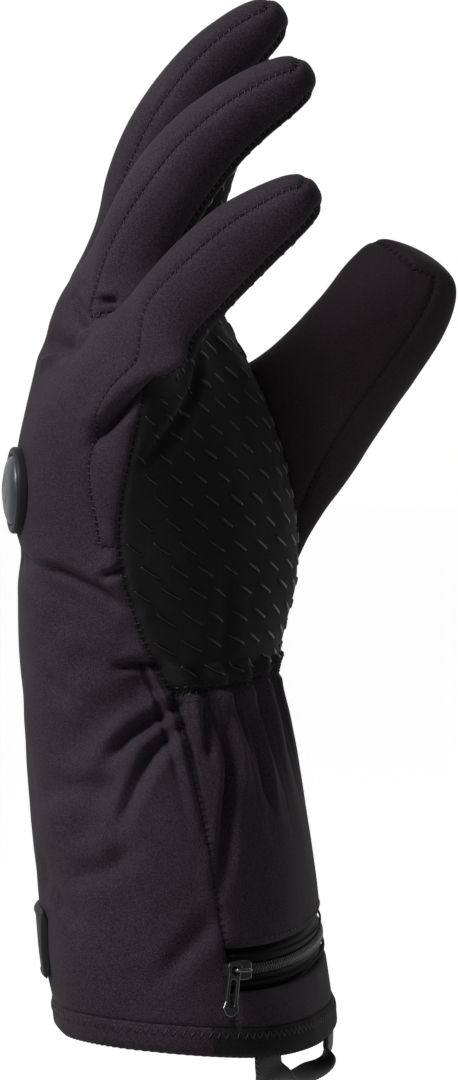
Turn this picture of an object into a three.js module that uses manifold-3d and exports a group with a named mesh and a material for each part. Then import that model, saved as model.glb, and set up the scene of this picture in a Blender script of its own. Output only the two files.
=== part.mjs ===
// A battery-heated softshell glove for the right hand, as worn: cuff mouth at the origin, fingers up (+Z),
// palm towards +X, back of the hand towards -X, little finger towards -Y and thumb towards +Y. Millimetres.
// The sewn shell is one coarse cage of quads that is subdivided, then cut along its seams into panels with
// a real wall. The trims sit on it: hem band, zipped battery pocket, power button, patch and hanging loop.
import * as THREE from "three";
import { mergeVertices } from "three/addons/utils/BufferGeometryUtils.js";
import Module from "manifold-3d";

// Driving dimensions of the shell.
const CUFF_LENGTH = 95; // hem to wrist seam
const HAND_LENGTH = 103; // wrist seam to the crotch between ring and middle finger
const HEM_WIDTH = 112;
const HEM_DEPTH = 74;
const WRIST_WIDTH = 88;
const WRIST_DEPTH = 68;
const KNUCKLE_WIDTH = 98;
const KNUCKLE_DEPTH = 46;
const HEM_DIP = 5; // how much lower the cuff hangs on its palm side
const HAND_SET_BACK = 16; // how far the hand's axis lies behind the middle of the cuff mouth
const THENAR_SWELL = 12; // how much deeper the thumb side of the palm is
const FINGER_LENGTH = 88;
const FINGER_WIDTH = 23;
const FINGER_DEPTH = 24;
const THUMB_LENGTH = 83.5;
const THUMB_WIDTH = 36; // across, as seen from the little finger's side
const THUMB_DEPTH = 27;
const WALL = 2.6; // softshell, wadding and lining together
const SEAM_GAP = 0.4; // between two panels that are sewn to each other
const FOLD_DEPTH = 3.2;
const FOLD_WIDTH = 6;
const GATHER_DEPTH = 1.3;

// Driving dimensions of the trims.
const BAND_HEIGHT = 5.5;
const BAND_PROUD = 0.7;
const ZIP_HEIGHT = 20; // hem to the lower edge of the zip
const ZIP_BAND = 8;
const TAPE_RECESS = 1.1;
const TAPE_THICKNESS = 0.8;
const CHAIN_WIDTH = 3.2;
const CHAIN_THICKNESS = 1.3;
const SLIDER_BACK = 3.5; // from the chain's end towards the side seam
const SLIDER_LENGTH = 8;
const SLIDER_WIDTH = 5.4;
const SLIDER_THICKNESS = 2.4;
const BAIL_HEIGHT = 3.4;
const BAIL_WIDTH = 1.4;
const BAIL_LENGTH = 6;
const BAIL_BAR = 1.1;
const PULLER_LENGTH = 15;
const PULLER_WIDTH = 5;
const PULLER_THICKNESS = 1.3;
const PULLER_EYE = 2.6;
const PULLER_RIM = 1.2; // between its eye and its end
const BUTTON_DIAMETER = 24;
const BUTTON_RIM = 2.2;
const BUTTON_RIM_HEIGHT = 1.5;
const BUTTON_DOME = 1.9;
const BUTTON_HEIGHT = 147; // hem to the middle of the button
const BUTTON_OFFSET = 26; // from the glove's middle plane towards the little finger
const PATCH_WIDTH = 44;
const PATCH_HEIGHT = 19;
const PATCH_THICKNESS = 1.5;
const PATCH_CORNER = 2;
const PATCH_BOTTOM = 14; // hem to the patch's lower edge
const PATCH_OFFSET = 16;
const LOOP_WIDTH = 10;
const LOOP_THICKNESS = 1.4;
const LOOP_DROP = 9.5;
const LOOP_FULLNESS = 0.6; // below 1 rounds out the bottom of the loop
const LOOP_TWIST = [0.2, 0.95]; // between these shares of its drop the webbing turns on edge
const CLEARANCE = 0.3;

const rad = THREE.MathUtils.degToRad;
const between = THREE.MathUtils.lerp;
const vec = (x, y, z) => new THREE.Vector3(x, y, z);
const mean = (points) => points.reduce((sum, p) => sum.add(p), vec(0, 0, 0)).divideScalar(points.length);

// Rings of the cuff and hand, from the hem up. at: share of the zone's length. width, depth: share of the way
// from the zone's first size to its last. set: share of HAND_SET_BACK. swell: share of THENAR_SWELL.
// back, palm: degrees from the little finger's edge to the back seam and to the palm seam. valley: how far
// the columns between the fingers are drawn in. arch: how much of the crotches' arch the ring follows.
// rise: how much higher its thumb side is, as a share of CUFF_LENGTH. dip: share of HEM_DIP.
const RINGS = [
  { name: "hem", zone: "cuff", at: 0, set: 0, back: 18, palm: 39, dip: 1 },
  { name: "band", zone: "cuff", at: BAND_HEIGHT / CUFF_LENGTH, set: 0.03, back: 18, palm: 39, dip: 1 },
  {
    name: "zip_low",
    zone: "cuff",
    at: ZIP_HEIGHT / CUFF_LENGTH,
    width: 0.05,
    set: 0.2,
    back: 18,
    palm: 41,
    rise: 0.06,
    dip: 1,
  },
  {
    name: "zip_high",
    zone: "cuff",
    at: (ZIP_HEIGHT + ZIP_BAND) / CUFF_LENGTH,
    width: 0.1,
    set: 0.27,
    back: 18,
    palm: 41,
    rise: 0.08,
    dip: 1,
  },
  {
    name: "cuff_mid",
    zone: "cuff",
    at: 0.55,
    width: 0.3,
    depth: 0.02,
    set: 0.43,
    back: 18,
    palm: 37,
    rise: 0.06,
    dip: 0.4,
  },
  {
    name: "cuff_top",
    zone: "cuff",
    at: 0.8,
    width: 0.7,
    depth: 0.3,
    set: 0.66,
    swell: 0.1,
    back: 18,
    palm: 33,
  },
  {
    name: "gather",
    zone: "cuff",
    at: 0.93,
    width: 0.95,
    depth: 0.8,
    set: 0.8,
    swell: 0.1,
    back: 18,
    palm: 31,
  },
  { name: "wrist", zone: "hand", at: 0, set: 0.87, back: 16, palm: 30, rise: 0.08 },
  {
    name: "heel",
    zone: "hand",
    at: 0.1,
    width: 0.1,
    depth: -0.1,
    set: 0.86,
    swell: 0.3,
    back: 15,
    palm: 19,
    rise: 0.05,
  },
  {
    name: "thumb_low",
    zone: "hand",
    at: 0.22,
    width: 0.25,
    depth: -0.2,
    set: 0.8,
    swell: 0.8,
    back: 5,
    palm: 7,
  },
  {
    name: "point",
    zone: "hand",
    at: 0.37,
    width: 0.45,
    depth: -0.2,
    set: 0.84,
    swell: 1,
    back: -5,
    palm: 0.8,
  },
  {
    name: "palm_low",
    zone: "hand",
    at: 0.51,
    width: 0.7,
    depth: -0.12,
    set: 0.93,
    swell: 1,
    back: 2,
    palm: 10,
    valley: 0.02,
  },
  {
    name: "palm_mid",
    zone: "hand",
    at: 0.66,
    width: 0.9,
    depth: 0.1,
    set: 0.95,
    swell: 0.9,
    back: 6,
    palm: 13,
    valley: 0.05,
    arch: 0.15,
  },
  {
    name: "thumb_high",
    zone: "hand",
    at: 0.81,
    width: 1,
    depth: 0.55,
    set: 0.97,
    swell: 0.65,
    back: 8,
    palm: 14,
    valley: 0.12,
    arch: 0.4,
  },
  {
    name: "knuckle",
    zone: "hand",
    at: 0.91,
    width: 1.02,
    depth: 0.95,
    set: 0.96,
    swell: 0.3,
    back: 10,
    palm: 15,
    valley: 0.25,
    arch: 0.7,
  },
  {
    name: "crotch",
    zone: "hand",
    at: 0.98,
    width: 1.03,
    depth: 1.05,
    set: 0.94,
    back: 13,
    palm: 17,
    valley: 0.42,
    arch: 1,
  },
];
const THUMB_SIDE_BACK = 20; // degrees from the thumb's edge to the seams of the index finger's side panel
const THUMB_SIDE_PALM = 24;
// From the little finger's outer side to the index finger's: how high each crotch lies above the top ring, as
// a share of HAND_LENGTH, and how far it is shifted towards the palm, as a share of KNUCKLE_DEPTH.
const CROTCH_ARCH = [-0.13, -0.035, 0.085, 0.075, -0.03];
const KNUCKLE_ARCH = [0.42, 0.05, -0.15, -0.11, 0];
const SECTION_POWER = 0.92; // below 1 squares the section's corners a little
const LEVEL_SPACING = 0.35; // how far the cuff's columns are spaced across rather than round, from 0 to 1
const COLUMNS = 20;
// Columns that carry the long seams.
const [LITTLE_BACK, INDEX_BACK, INDEX_PALM, LITTLE_PALM] = [1, 9, 11, 19];
const THUMB_COLUMNS = [10, 12];

// Fingers, from the little finger. length, width, depth: shares of the FINGER_ sizes. lean: degrees from
// upright towards the palm at the base and the tip. splay: degrees towards the thumb. roll: about its axis.
const FINGERS = [
  { name: "little", length: 0.71, width: 0.92, depth: 0.98, lean: [33, 64], splay: -4, roll: 22 },
  { name: "ring", length: 0.96, width: 0.98, depth: 1, lean: [10, 70], splay: -1, roll: 28 },
  { name: "middle", length: 1.02, width: 1, depth: 1, lean: [-4, 62], splay: 1, roll: 28 },
  { name: "index", length: 0.86, width: 1, depth: 0.98, lean: [0, 42], splay: 3, roll: -6 },
];
// Rings of a finger: share of its length, of its width and of its depth.
const FINGER_RINGS = [
  { at: 0.13, width: 0.98, depth: 0.98 },
  { at: 0.34, width: 1, depth: 1 },
  { at: 0.56, width: 0.98, depth: 0.93 },
  { at: 0.77, width: 0.93, depth: 0.81 },
  { at: 0.93, width: 0.82, depth: 0.66 },
  { at: 1, width: 0.54, depth: 0.42 },
];
const FINGER_SIDES = 8;
const TIP_CROWN = 0.04; // how far a digit's end stands above its last ring, as a share of its length

// The thumb leans towards the palm and a little outwards. Its rings have twelve sides.
const THUMB_LEAN = [46, 30];
const THUMB_SPLAY = [14, 6];
const THUMB_RINGS = [
  { at: 0.18, width: 1.36, depth: 0.88 },
  { at: 0.42, width: 1.05, depth: 1.04 },
  { at: 0.64, width: 0.99, depth: 0.99 },
  { at: 0.84, width: 0.98, depth: 0.88 },
  { at: 0.97, width: 0.76, depth: 0.66 },
];
const THUMB_SIDES = 12;
const THUMB_STRIP = 2; // sides of the outer panel, either way from the thumb's underside
const THUMB_STRIP_ANGLE = 50; // how far round they reach, in degrees

// Folds of the cuff and hand. turn: degrees round from the little finger's edge, plus towards the back.
// height: share of the length from the hem to the crotches. wide, deep: shares of FOLD_WIDTH and FOLD_DEPTH.
const FOLDS = [
  { turn: [-16, 14], height: [0.475, 0.4], wide: 1, deep: 1 },
  { turn: [-16, 14], height: [0.43, 0.29], wide: 0.9, deep: 0.9 },
  { turn: [8, 36], height: [0.258, 0.215], wide: 1.2, deep: 0.5 },
  { turn: [10, 42], height: [0.34, 0.33], wide: 1.3, deep: 0.35 },
  { turn: [56, -2], height: [0.65, 0.59], wide: 0.8, deep: 0.7 },
  { turn: [16, -8], height: [0.57, 0.548], wide: 0.8, deep: 0.6 },
  { turn: [8, -16], height: [0.512, 0.505], wide: 0.8, deep: 0.7 },
  { turn: [120, 70], height: [0.6, 0.66], wide: 1, deep: 0.5 },
  { turn: [130, 84], height: [0.42, 0.47], wide: 1.1, deep: 0.6 },
  { turn: [0, -17], height: [0.828, 0.889], wide: 0.8, deep: 1 },
];
// Gathers hang from the wrist seam on the palm side, a ridge between each two columns.
const GATHER_REACH = 0.3; // how far down they fade out, as a share of CUFF_LENGTH

const LOOP_TURNS = [-39, -100]; // where the loop's two ends leave the hem, in degrees as above

const SHELL_LENGTH = CUFF_LENGTH + HAND_LENGTH;
const ring = (name) => RINGS.findIndex((row) => row.name === name);

// The size of a round section shrinks when its cage is subdivided; this is the factor that makes up for it.
const cageGrowth = (sides) => 3 / (2 + Math.cos((2 * Math.PI) / sides));

// Value of a short list at a place between its entries.
function along(list, place) {
  const low = Math.min(Math.floor(place), list.length - 2);
  return between(list[low], list[low + 1], place - low);
}

// Place of a column among the five finger boundaries: 0 at the little finger's edge, 4 at the index finger's.
function boundaryPlace(column) {
  if (column === 0) return 0;
  if (column === COLUMNS / 2) return 4;
  return column < COLUMNS / 2 ? (column - LITTLE_BACK) / 2 : (LITTLE_PALM - column) / 2;
}

// Angle of a column round its ring: 0 at the little finger's edge, 90 degrees at the back, 180 at the thumb.
// Near the crotches the columns are spaced evenly across the hand rather than round it.
function columnAngle(row, column) {
  const level = between(LEVEL_SPACING, 1, row.arch ?? 0);
  const spread = (from, to, share) => {
    const inside = Math.max(from, 0);
    const across = Math.acos(between(Math.cos(inside), Math.cos(to), share)) + (from - inside) * (1 - share);
    return between(between(from, to, share), across, level);
  };
  const back = (share) => spread(rad(row.back), Math.PI - rad(THUMB_SIDE_BACK), share);
  const palm = (share) => 2 * Math.PI - spread(Math.PI - rad(THUMB_SIDE_PALM), rad(row.palm), share);
  if (column === 0) return (back(0) + palm(1) - 2 * Math.PI) / 2;
  if (column === COLUMNS / 2) return (back(1) + palm(0)) / 2;
  if (column < COLUMNS / 2) return back((column - LITTLE_BACK) / (INDEX_BACK - LITTLE_BACK));
  return palm((column - INDEX_PALM) / (LITTLE_PALM - INDEX_PALM));
}

const rounded = (value) => Math.sign(value) * Math.abs(value) ** SECTION_POWER;

function ringPoint(row, column) {
  const growth = cageGrowth(COLUMNS) / 2;
  const isCuff = row.zone === "cuff";
  const [width, depth] = [row.width ?? 0, row.depth ?? 0];
  const widths = isCuff ? [HEM_WIDTH, WRIST_WIDTH] : [WRIST_WIDTH, KNUCKLE_WIDTH];
  const depths = isCuff ? [HEM_DEPTH, WRIST_DEPTH] : [WRIST_DEPTH, KNUCKLE_DEPTH];
  const halfWidth = growth * between(...widths, width);
  const halfDepth = growth * between(...depths, depth);
  const angle = columnAngle(row, column);
  const place = boundaryPlace(column);
  const across = -rounded(Math.cos(angle));
  const drawnIn = column % 2 === 1 && place > 0 && place < 4 ? 1 - (row.valley ?? 0) : 1;
  const swell = Math.sin(angle) < 0 ? THENAR_SWELL * (row.swell ?? 0) * across : 0;
  const arch = row.arch ?? 0;
  const x = -HAND_SET_BACK * row.set - (halfDepth + swell) * rounded(Math.sin(angle)) * drawnIn;
  const z = isCuff ? CUFF_LENGTH * row.at : CUFF_LENGTH + HAND_LENGTH * row.at;
  const dip = HEM_DIP * (row.dip ?? 0) * Math.max(0, -Math.sin(angle));
  const rise = (CUFF_LENGTH * (row.rise ?? 0) * across) / 2;
  const lift = HAND_LENGTH * arch * along(CROTCH_ARCH, place) + rise - dip;
  return vec(x + KNUCKLE_DEPTH * arch * along(KNUCKLE_ARCH, place), halfWidth * across, z + lift);
}

// Which panel the hand's face above ring v and after column u belongs to. The thumb's opening has none.
function handPanel(u, v) {
  const atThumb = u >= THUMB_COLUMNS[0] && u < THUMB_COLUMNS[1];
  if (atThumb && v >= ring("thumb_low") && v < ring("thumb_high")) return null;
  if (v < ring("band")) return "hem_band";
  if (u >= INDEX_PALM && u < LITTLE_PALM) {
    if (v < ring("zip_low")) return "cuff_pocket_panel";
    if (v < ring("zip_high")) return "zip_tape";
    return v < ring("wrist") ? "cuff_front_panel" : "palm_panel";
  }
  if ((u === LITTLE_PALM || u < LITTLE_BACK) && v >= ring("point")) return "little_side_panel";
  if (u >= INDEX_BACK && u < INDEX_PALM && v >= ring("thumb_high")) return "index_side_panel";
  return "back_panel";
}

// The cage: its points, and its faces, which carry the name of their panel.
class Cage {
  points = [];
  columns = []; // each point's column on the hand, if it has one
  faces = [];

  add(point, column = NaN) {
    this.columns.push(column);
    return this.points.push(point) - 1;
  }

  quad(panel, ...corners) {
    this.faces.push({ panel, corners });
  }

  middle(ids) {
    return mean(ids.map((id) => this.points[id]));
  }

  // Joins two loops of points with a band of quads.
  bridge(low, high, panelOf) {
    low.forEach((_, k) => {
      const next = (k + 1) % low.length;
      this.quad(panelOf(k), low[k], high[k], high[next], low[next]);
    });
  }
}

// A point of a digit's middle line, whose direction turns evenly from the first lean and splay to the last.
function digitFrame(start, length, lean, splay, share) {
  const direction = (s) => {
    const [tilt, side] = [rad(between(lean[0], lean[1], s)), rad(between(splay[0], splay[1], s))];
    return vec(Math.sin(tilt), Math.cos(tilt) * Math.sin(side), Math.cos(tilt) * Math.cos(side));
  };
  const steps = 24;
  const point = start.clone();
  for (let i = 0; i < steps; i++)
    point.addScaledVector(direction((share * (i + 0.5)) / steps), (length * share) / steps);
  const forward = direction(share);
  const side = vec(0, 1, 0).addScaledVector(forward, -forward.y).normalize();
  return { point, forward, side, palmward: side.clone().cross(forward) };
}

function addHand(cage) {
  const rows = RINGS.map((row) => Array.from({ length: COLUMNS }, (_, u) => cage.add(ringPoint(row, u), u)));
  for (let v = 0; v + 1 < rows.length; v++)
    for (let u = 0; u < COLUMNS; u++) {
      const panel = handPanel(u, v);
      const next = (u + 1) % COLUMNS;
      if (panel) cage.quad(panel, rows[v][u], rows[v + 1][u], rows[v + 1][next], rows[v][next]);
    }
  return rows;
}

function addFingers(cage, top) {
  const crotch = [top[0]];
  for (let i = 1; i < FINGERS.length; i++)
    crotch.push(cage.add(cage.middle([top[LITTLE_BACK + 2 * i], top[LITTLE_PALM - 2 * i]])));
  crotch.push(top[COLUMNS / 2]);
  FINGERS.forEach((finger, i) => {
    const [b, p] = [LITTLE_BACK + 2 * i, LITTLE_PALM - 2 * i];
    const base = [crotch[i], top[b], top[b + 1], top[b + 2], crotch[i + 1], top[p - 2], top[p - 1], top[p]];
    addFinger(cage, finger, base);
  });
}

function addFinger(cage, finger, base) {
  const start = cage.middle(base);
  const length = FINGER_LENGTH * finger.length;
  const growth = cageGrowth(FINGER_SIDES) / 2;
  const sidePanel = `${finger.name}_side_panel`;
  const panelOf = (k) => (k === 1 || k === 2 ? "back_panel" : k === 5 || k === 6 ? "palm_panel" : sidePanel);
  const frameAt = (share) => digitFrame(start, length, finger.lean, [finger.splay, finger.splay], share);
  let low = base;
  for (const { at, width, depth } of FINGER_RINGS) {
    const { point, side, palmward } = frameAt(at);
    const high = low.map((_, k) => {
      const roll = rad(finger.roll) * Math.min(1, at / FINGER_RINGS[1].at);
      const angle = (2 * Math.PI * k) / FINGER_SIDES - roll;
      const across = -Math.cos(angle) * width * growth * FINGER_WIDTH * finger.width;
      const down = -Math.sin(angle) * depth * growth * FINGER_DEPTH * finger.depth;
      return cage.add(point.clone().addScaledVector(side, across).addScaledVector(palmward, down));
    });
    cage.bridge(low, high, panelOf);
    low = high;
  }
  const crown = cage.add(cage.middle(low).addScaledVector(frameAt(1).forward, TIP_CROWN * length));
  for (const k of [0, 2, 4, 6]) cage.quad(sidePanel, low[k], crown, low[(k + 2) % FINGER_SIDES], low[k + 1]);
}

function addThumb(cage, rows) {
  const [low, high] = [ring("thumb_low"), ring("thumb_high")];
  const [first, last] = THUMB_COLUMNS;
  const opening = [rows[low][first + 1]];
  for (let v = low; v <= high; v++) opening.push(rows[v][last]);
  opening.push(rows[high][first + 1]);
  for (let v = high; v >= low; v--) opening.push(rows[v][first]);
  const start = cage.middle(opening);
  const growth = cageGrowth(THUMB_SIDES) / 2;
  const inStrip = (k) => k < THUMB_STRIP || k >= THUMB_SIDES - THUMB_STRIP;
  const half = THUMB_SIDES / 2;
  const angleOf = (k) => {
    const steps = k <= half ? k : THUMB_SIDES - k;
    const inside = (THUMB_STRIP_ANGLE * Math.min(steps, THUMB_STRIP)) / THUMB_STRIP;
    const beyond = ((180 - THUMB_STRIP_ANGLE) * Math.max(0, steps - THUMB_STRIP)) / (half - THUMB_STRIP);
    return rad(k <= half ? inside + beyond : -inside - beyond);
  };
  let loop = opening;
  for (const { at, width, depth } of THUMB_RINGS) {
    const { point, side, palmward } = digitFrame(start, THUMB_LENGTH, THUMB_LEAN, THUMB_SPLAY, at);
    const next = loop.map((_, k) => {
      const down = Math.cos(angleOf(k)) * width * growth * THUMB_WIDTH;
      const across = -Math.sin(angleOf(k)) * depth * growth * THUMB_DEPTH;
      return cage.add(point.clone().addScaledVector(palmward, down).addScaledVector(side, across));
    });
    cage.bridge(loop, next, (k) => (inStrip(k) ? "thumb_outer_panel" : "thumb_inner_panel"));
    loop = next;
  }
  closeThumb(cage, loop);
}

// The thumb's end: three by three quads inside its last ring, whose corners are every third point.
function closeThumb(cage, loop) {
  const { forward } = digitFrame(vec(0, 0, 0), THUMB_LENGTH, THUMB_LEAN, THUMB_SPLAY, 1);
  const centre = cage.middle(loop);
  const crown = [0, 3, 6, 9].map((k) => {
    const point = cage.points[loop[k]].clone().lerp(centre, 0.5);
    return cage.add(point.addScaledVector(forward, TIP_CROWN * THUMB_LENGTH));
  });
  const at = (k) => loop[(k + THUMB_SIDES) % THUMB_SIDES];
  const panel = "thumb_outer_panel";
  crown.forEach((here, j) => {
    cage.quad(panel, here, at(3 * j + 1), at(3 * j), at(3 * j - 1));
    cage.quad(panel, here, crown[(j + 1) % 4], at(3 * j + 2), at(3 * j + 1));
  });
  cage.quad(panel, crown[3], crown[2], crown[1], crown[0]);
}

// One Catmull-Clark step.
function subdivide({ points, columns, faces }) {
  const edges = new Map();
  const key = (a, b) => (a < b ? `${a} ${b}` : `${b} ${a}`);
  const spokes = points.map(() => []);
  const fans = points.map(() => []);
  const centres = faces.map(({ corners }) => mean(corners.map((c) => points[c])));
  faces.forEach(({ corners }, f) =>
    corners.forEach((a, i) => {
      const b = corners[(i + 1) % 4];
      fans[a].push(centres[f]);
      if (!edges.has(key(a, b))) {
        const ends = [points[a], points[b]];
        const edge = { middle: mean(ends), ends, centres: [], column: (columns[a] + columns[b]) / 2 };
        edges.set(key(a, b), edge);
        spokes[a].push(edge);
        spokes[b].push(edge);
      }
      edges.get(key(a, b)).centres.push(centres[f]);
    }),
  );
  const next = { points: [], columns: [...columns], faces: [] };
  points.forEach((point, i) => {
    const open = spokes[i].filter((edge) => edge.centres.length === 1);
    if (open.length) next.points.push(point.clone().lerp(mean(open.map((edge) => edge.middle)), 0.5));
    else {
      const n = spokes[i].length;
      const pull = mean(fans[i]).addScaledVector(mean(spokes[i].map((edge) => edge.middle)), 2);
      next.points.push(pull.addScaledVector(point, n - 3).divideScalar(n));
    }
  });
  for (const edge of edges.values()) {
    edge.id = next.points.length;
    next.columns.push(edge.column);
    next.points.push(edge.centres.length === 1 ? edge.middle : mean([...edge.ends, ...edge.centres]));
  }
  faces.forEach(({ panel, corners }, f) => {
    const centre = next.points.push(centres[f]) - 1;
    next.columns.push(corners.reduce((sum, c) => sum + columns[c], 0) / 4);
    const onEdge = corners.map((a, i) => edges.get(key(a, corners[(i + 1) % 4])).id);
    corners.forEach((a, i) => {
      next.faces.push({ panel, corners: [a, onEdge[i], centre, onEdge[(i + 3) % 4]] });
    });
  });
  return next;
}

// Moves each point to where endless subdivision would bring it.
function settle({ points, columns, faces }) {
  const near = points.map(() => new Map());
  const far = points.map(() => []);
  faces.forEach(({ corners }) =>
    corners.forEach((a, i) => {
      for (const b of [corners[(i + 1) % 4], corners[(i + 3) % 4]]) near[a].set(b, (near[a].get(b) ?? 0) + 1);
      far[a].push(points[corners[(i + 2) % 4]]);
    }),
  );
  const settled = points.map((point, i) => {
    const open = [...near[i]].filter(([, uses]) => uses === 1).map(([b]) => points[b]);
    if (open.length) return point.clone().multiplyScalar(4).add(open[0]).add(open[1]).divideScalar(6);
    const n = near[i].size;
    const sum = point.clone().multiplyScalar(n * n);
    for (const b of near[i].keys()) sum.addScaledVector(points[b], 4);
    for (const p of far[i]) sum.add(p);
    return sum.divideScalar(n * (n + 5));
  });
  return { points: settled, columns, faces };
}

function withNormals(surface) {
  const normals = surface.points.map(() => vec(0, 0, 0));
  for (const { corners } of surface.faces) {
    const [a, b, c, d] = corners.map((id) => surface.points[id]);
    const normal = c.clone().sub(a).cross(d.clone().sub(b));
    for (const id of corners) normals[id].add(normal);
  }
  return { ...surface, normals: normals.map((n) => n.normalize()) };
}

// Turn and height of a point of the cuff or hand, as in FOLDS, with the height in millimetres.
function placeOf(point) {
  const set = HAND_SET_BACK * Math.min(1, point.z / CUFF_LENGTH);
  return { turn: THREE.MathUtils.radToDeg(Math.atan2(-(point.x + set), -point.y)), height: point.z };
}

const RADIUS = (HEM_WIDTH + WRIST_WIDTH) / 4; // turns degrees into millimetres for the folds

function foldDepth(point) {
  const { turn, height } = placeOf(point);
  const here = new THREE.Vector2(rad(turn) * RADIUS, height);
  let depth = 0;
  for (const fold of FOLDS) {
    const end = (i) => new THREE.Vector2(rad(fold.turn[i]) * RADIUS, fold.height[i] * SHELL_LENGTH);
    const [from, to] = [end(0), end(1)];
    const run = to.clone().sub(from);
    const share = THREE.MathUtils.clamp(here.clone().sub(from).dot(run) / run.lengthSq(), 0, 1);
    const away = here.distanceTo(from.addScaledVector(run, share)) / (FOLD_WIDTH * fold.wide);
    depth += FOLD_DEPTH * fold.deep * Math.exp(-away * away);
  }
  return depth;
}

function gatherDepth(point, column) {
  const drop = (CUFF_LENGTH - point.z) / (CUFF_LENGTH * GATHER_REACH);
  if (!(column > INDEX_PALM && column < LITTLE_PALM) || drop < -0.2) return 0;
  return GATHER_DEPTH * Math.cos(2 * Math.PI * column) * Math.exp(-2 * drop * drop);
}

function crease(surface) {
  const { points, columns, normals } = surface;
  const onHand = (point) => point.z < SHELL_LENGTH;
  const depth = points.map((p, i) => (onHand(p) ? foldDepth(p) + gatherDepth(p, columns[i]) : 0));
  const creased = points.map((p, i) => p.clone().addScaledVector(normals[i], -depth[i]));
  return withNormals({ ...surface, points: creased });
}

// Inward step of a panel's boundary points, so that two panels meet at a seam with a small gap.
function seamSteps(surface, faces) {
  const sides = faces.flatMap(({ corners }) => corners.map((a, i) => `${a} ${corners[(i + 1) % 4]}`));
  const forward = new Set(sides);
  const steps = new Map();
  const rim = [];
  for (const { corners } of faces)
    corners.forEach((a, i) => {
      const b = corners[(i + 1) % 4];
      if (forward.has(`${b} ${a}`)) return;
      rim.push([a, b]);
      const run = surface.points[b].clone().sub(surface.points[a]);
      for (const id of [a, b]) {
        const inward = surface.normals[id].clone().cross(run).normalize();
        steps.set(id, [...(steps.get(id) ?? []), inward]);
      }
    });
  const mitred = new Map();
  for (const [id, inward] of steps) {
    const sum = inward.reduce((total, step) => total.add(step), vec(0, 0, 0));
    const spread = Math.max(0.6, sum.length() ** 2 / inward.length);
    mitred.set(id, sum.multiplyScalar(SEAM_GAP / 2 / spread));
  }
  return { mitred, rim };
}

const wasm = await Module();
wasm.setup();

function solidFrom(points, triangles) {
  const vertProperties = new Float32Array(points.flatMap((p) => [p.x, p.y, p.z]));
  const triVerts = new Uint32Array(triangles.flat());
  return new wasm.Manifold(new wasm.Mesh({ numProp: 3, vertProperties, triVerts }));
}

// A three.js shape as a solid that can be cut and joined.
function solidOf(geometry) {
  const bare = geometry.clone();
  bare.deleteAttribute("normal");
  bare.deleteAttribute("uv");
  const merged = mergeVertices(bare);
  const vertProperties = new Float32Array(merged.getAttribute("position").array);
  const triVerts = new Uint32Array(merged.index.array);
  return new wasm.Manifold(new wasm.Mesh({ numProp: 3, vertProperties, triVerts }));
}

// A panel of the shell as a solid between two distances from its surface, plus outwards.
function panelSolid(surface, panel, outer, inner) {
  const faces = surface.faces.filter((face) => face.panel === panel);
  const { mitred, rim } = seamSteps(surface, faces);
  const ids = [...new Set(faces.flatMap((face) => face.corners))];
  const index = new Map(ids.map((id, i) => [id, i]));
  const layer = (distance) =>
    ids.map((id) => {
      const point = surface.points[id].clone().addScaledVector(surface.normals[id], distance);
      return mitred.has(id) ? point.add(mitred.get(id)) : point;
    });
  const under = (i) => i + ids.length;
  const triangles = [];
  for (const { corners } of faces) {
    const [a, b, c, d] = corners.map((id) => index.get(id));
    triangles.push([a, b, c], [a, c, d], [under(a), under(c), under(b)], [under(a), under(d), under(c)]);
  }
  for (const [from, to] of rim) {
    const [a, b] = [index.get(from), index.get(to)];
    // Both panels at a seam split their facing walls along the same diagonal, so twisted walls stay apart.
    if (from < to) triangles.push([b, a, under(b)], [a, under(a), under(b)]);
    else triangles.push([b, a, under(a)], [b, under(a), under(b)]);
  }
  return solidFrom([...layer(outer), ...layer(inner)], triangles);
}

// A bar of rectangular section through a list of frames: middle, half of its width and half of its thickness.
function strapSolid(frames) {
  const points = frames.flatMap(({ point, wide, thick }) => [
    point.clone().add(wide).add(thick),
    point.clone().sub(wide).add(thick),
    point.clone().sub(wide).sub(thick),
    point.clone().add(wide).sub(thick),
  ]);
  const triangles = [];
  const face = (a, b, c, d) => triangles.push([a, b, c], [a, c, d]);
  for (let i = 0; i + 1 < frames.length; i++)
    for (let k = 0; k < 4; k++) {
      const next = (k + 1) % 4;
      face(4 * i + k, 4 * i + next, 4 * i + 4 + next, 4 * i + 4 + k);
    }
  const last = 4 * (frames.length - 1);
  face(3, 2, 1, 0);
  face(last, last + 1, last + 2, last + 3);
  const solid = solidFrom(points, triangles);
  return solid.volume() > 0 ? solid : solidFrom(points, triangles.map(([a, b, c]) => [a, c, b]));
}

// Where a straight line from a point meets the shell first, with the normal there.
function landing(surface, from, direction) {
  const ray = new THREE.Ray(from, direction.clone().normalize());
  let best = null;
  for (const { corners } of surface.faces) {
    const [a, b, c, d] = corners.map((id) => surface.points[id]);
    for (const [p, q, r] of [
      [a, b, c],
      [a, c, d],
    ]) {
      const hit = ray.intersectTriangle(p, q, r, true, vec(0, 0, 0));
      if (hit && (!best || hit.distanceTo(from) < best.point.distanceTo(from)))
        best = { point: hit.clone(), normal: q.clone().sub(p).cross(r.clone().sub(p)).normalize() };
    }
  }
  return best;
}

const cage = new Cage();
const rows = addHand(cage);
addFingers(cage, rows.at(-1));
addThumb(cage, rows);
const shell = crease(withNormals(settle(subdivide(cage))));

const group = new THREE.Group();

function addPart(name, solid, colour, roughness, metalness = 0) {
  const { vertProperties, triVerts } = solid.getMesh();
  const geometry = new THREE.BufferGeometry();
  geometry.setAttribute("position", new THREE.BufferAttribute(vertProperties, 3));
  geometry.setIndex(Array.from(triVerts));
  const material = new THREE.MeshStandardMaterial({ color: colour, roughness, metalness });
  const mesh = new THREE.Mesh(geometry, material);
  mesh.name = name;
  group.add(mesh);
}

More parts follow.
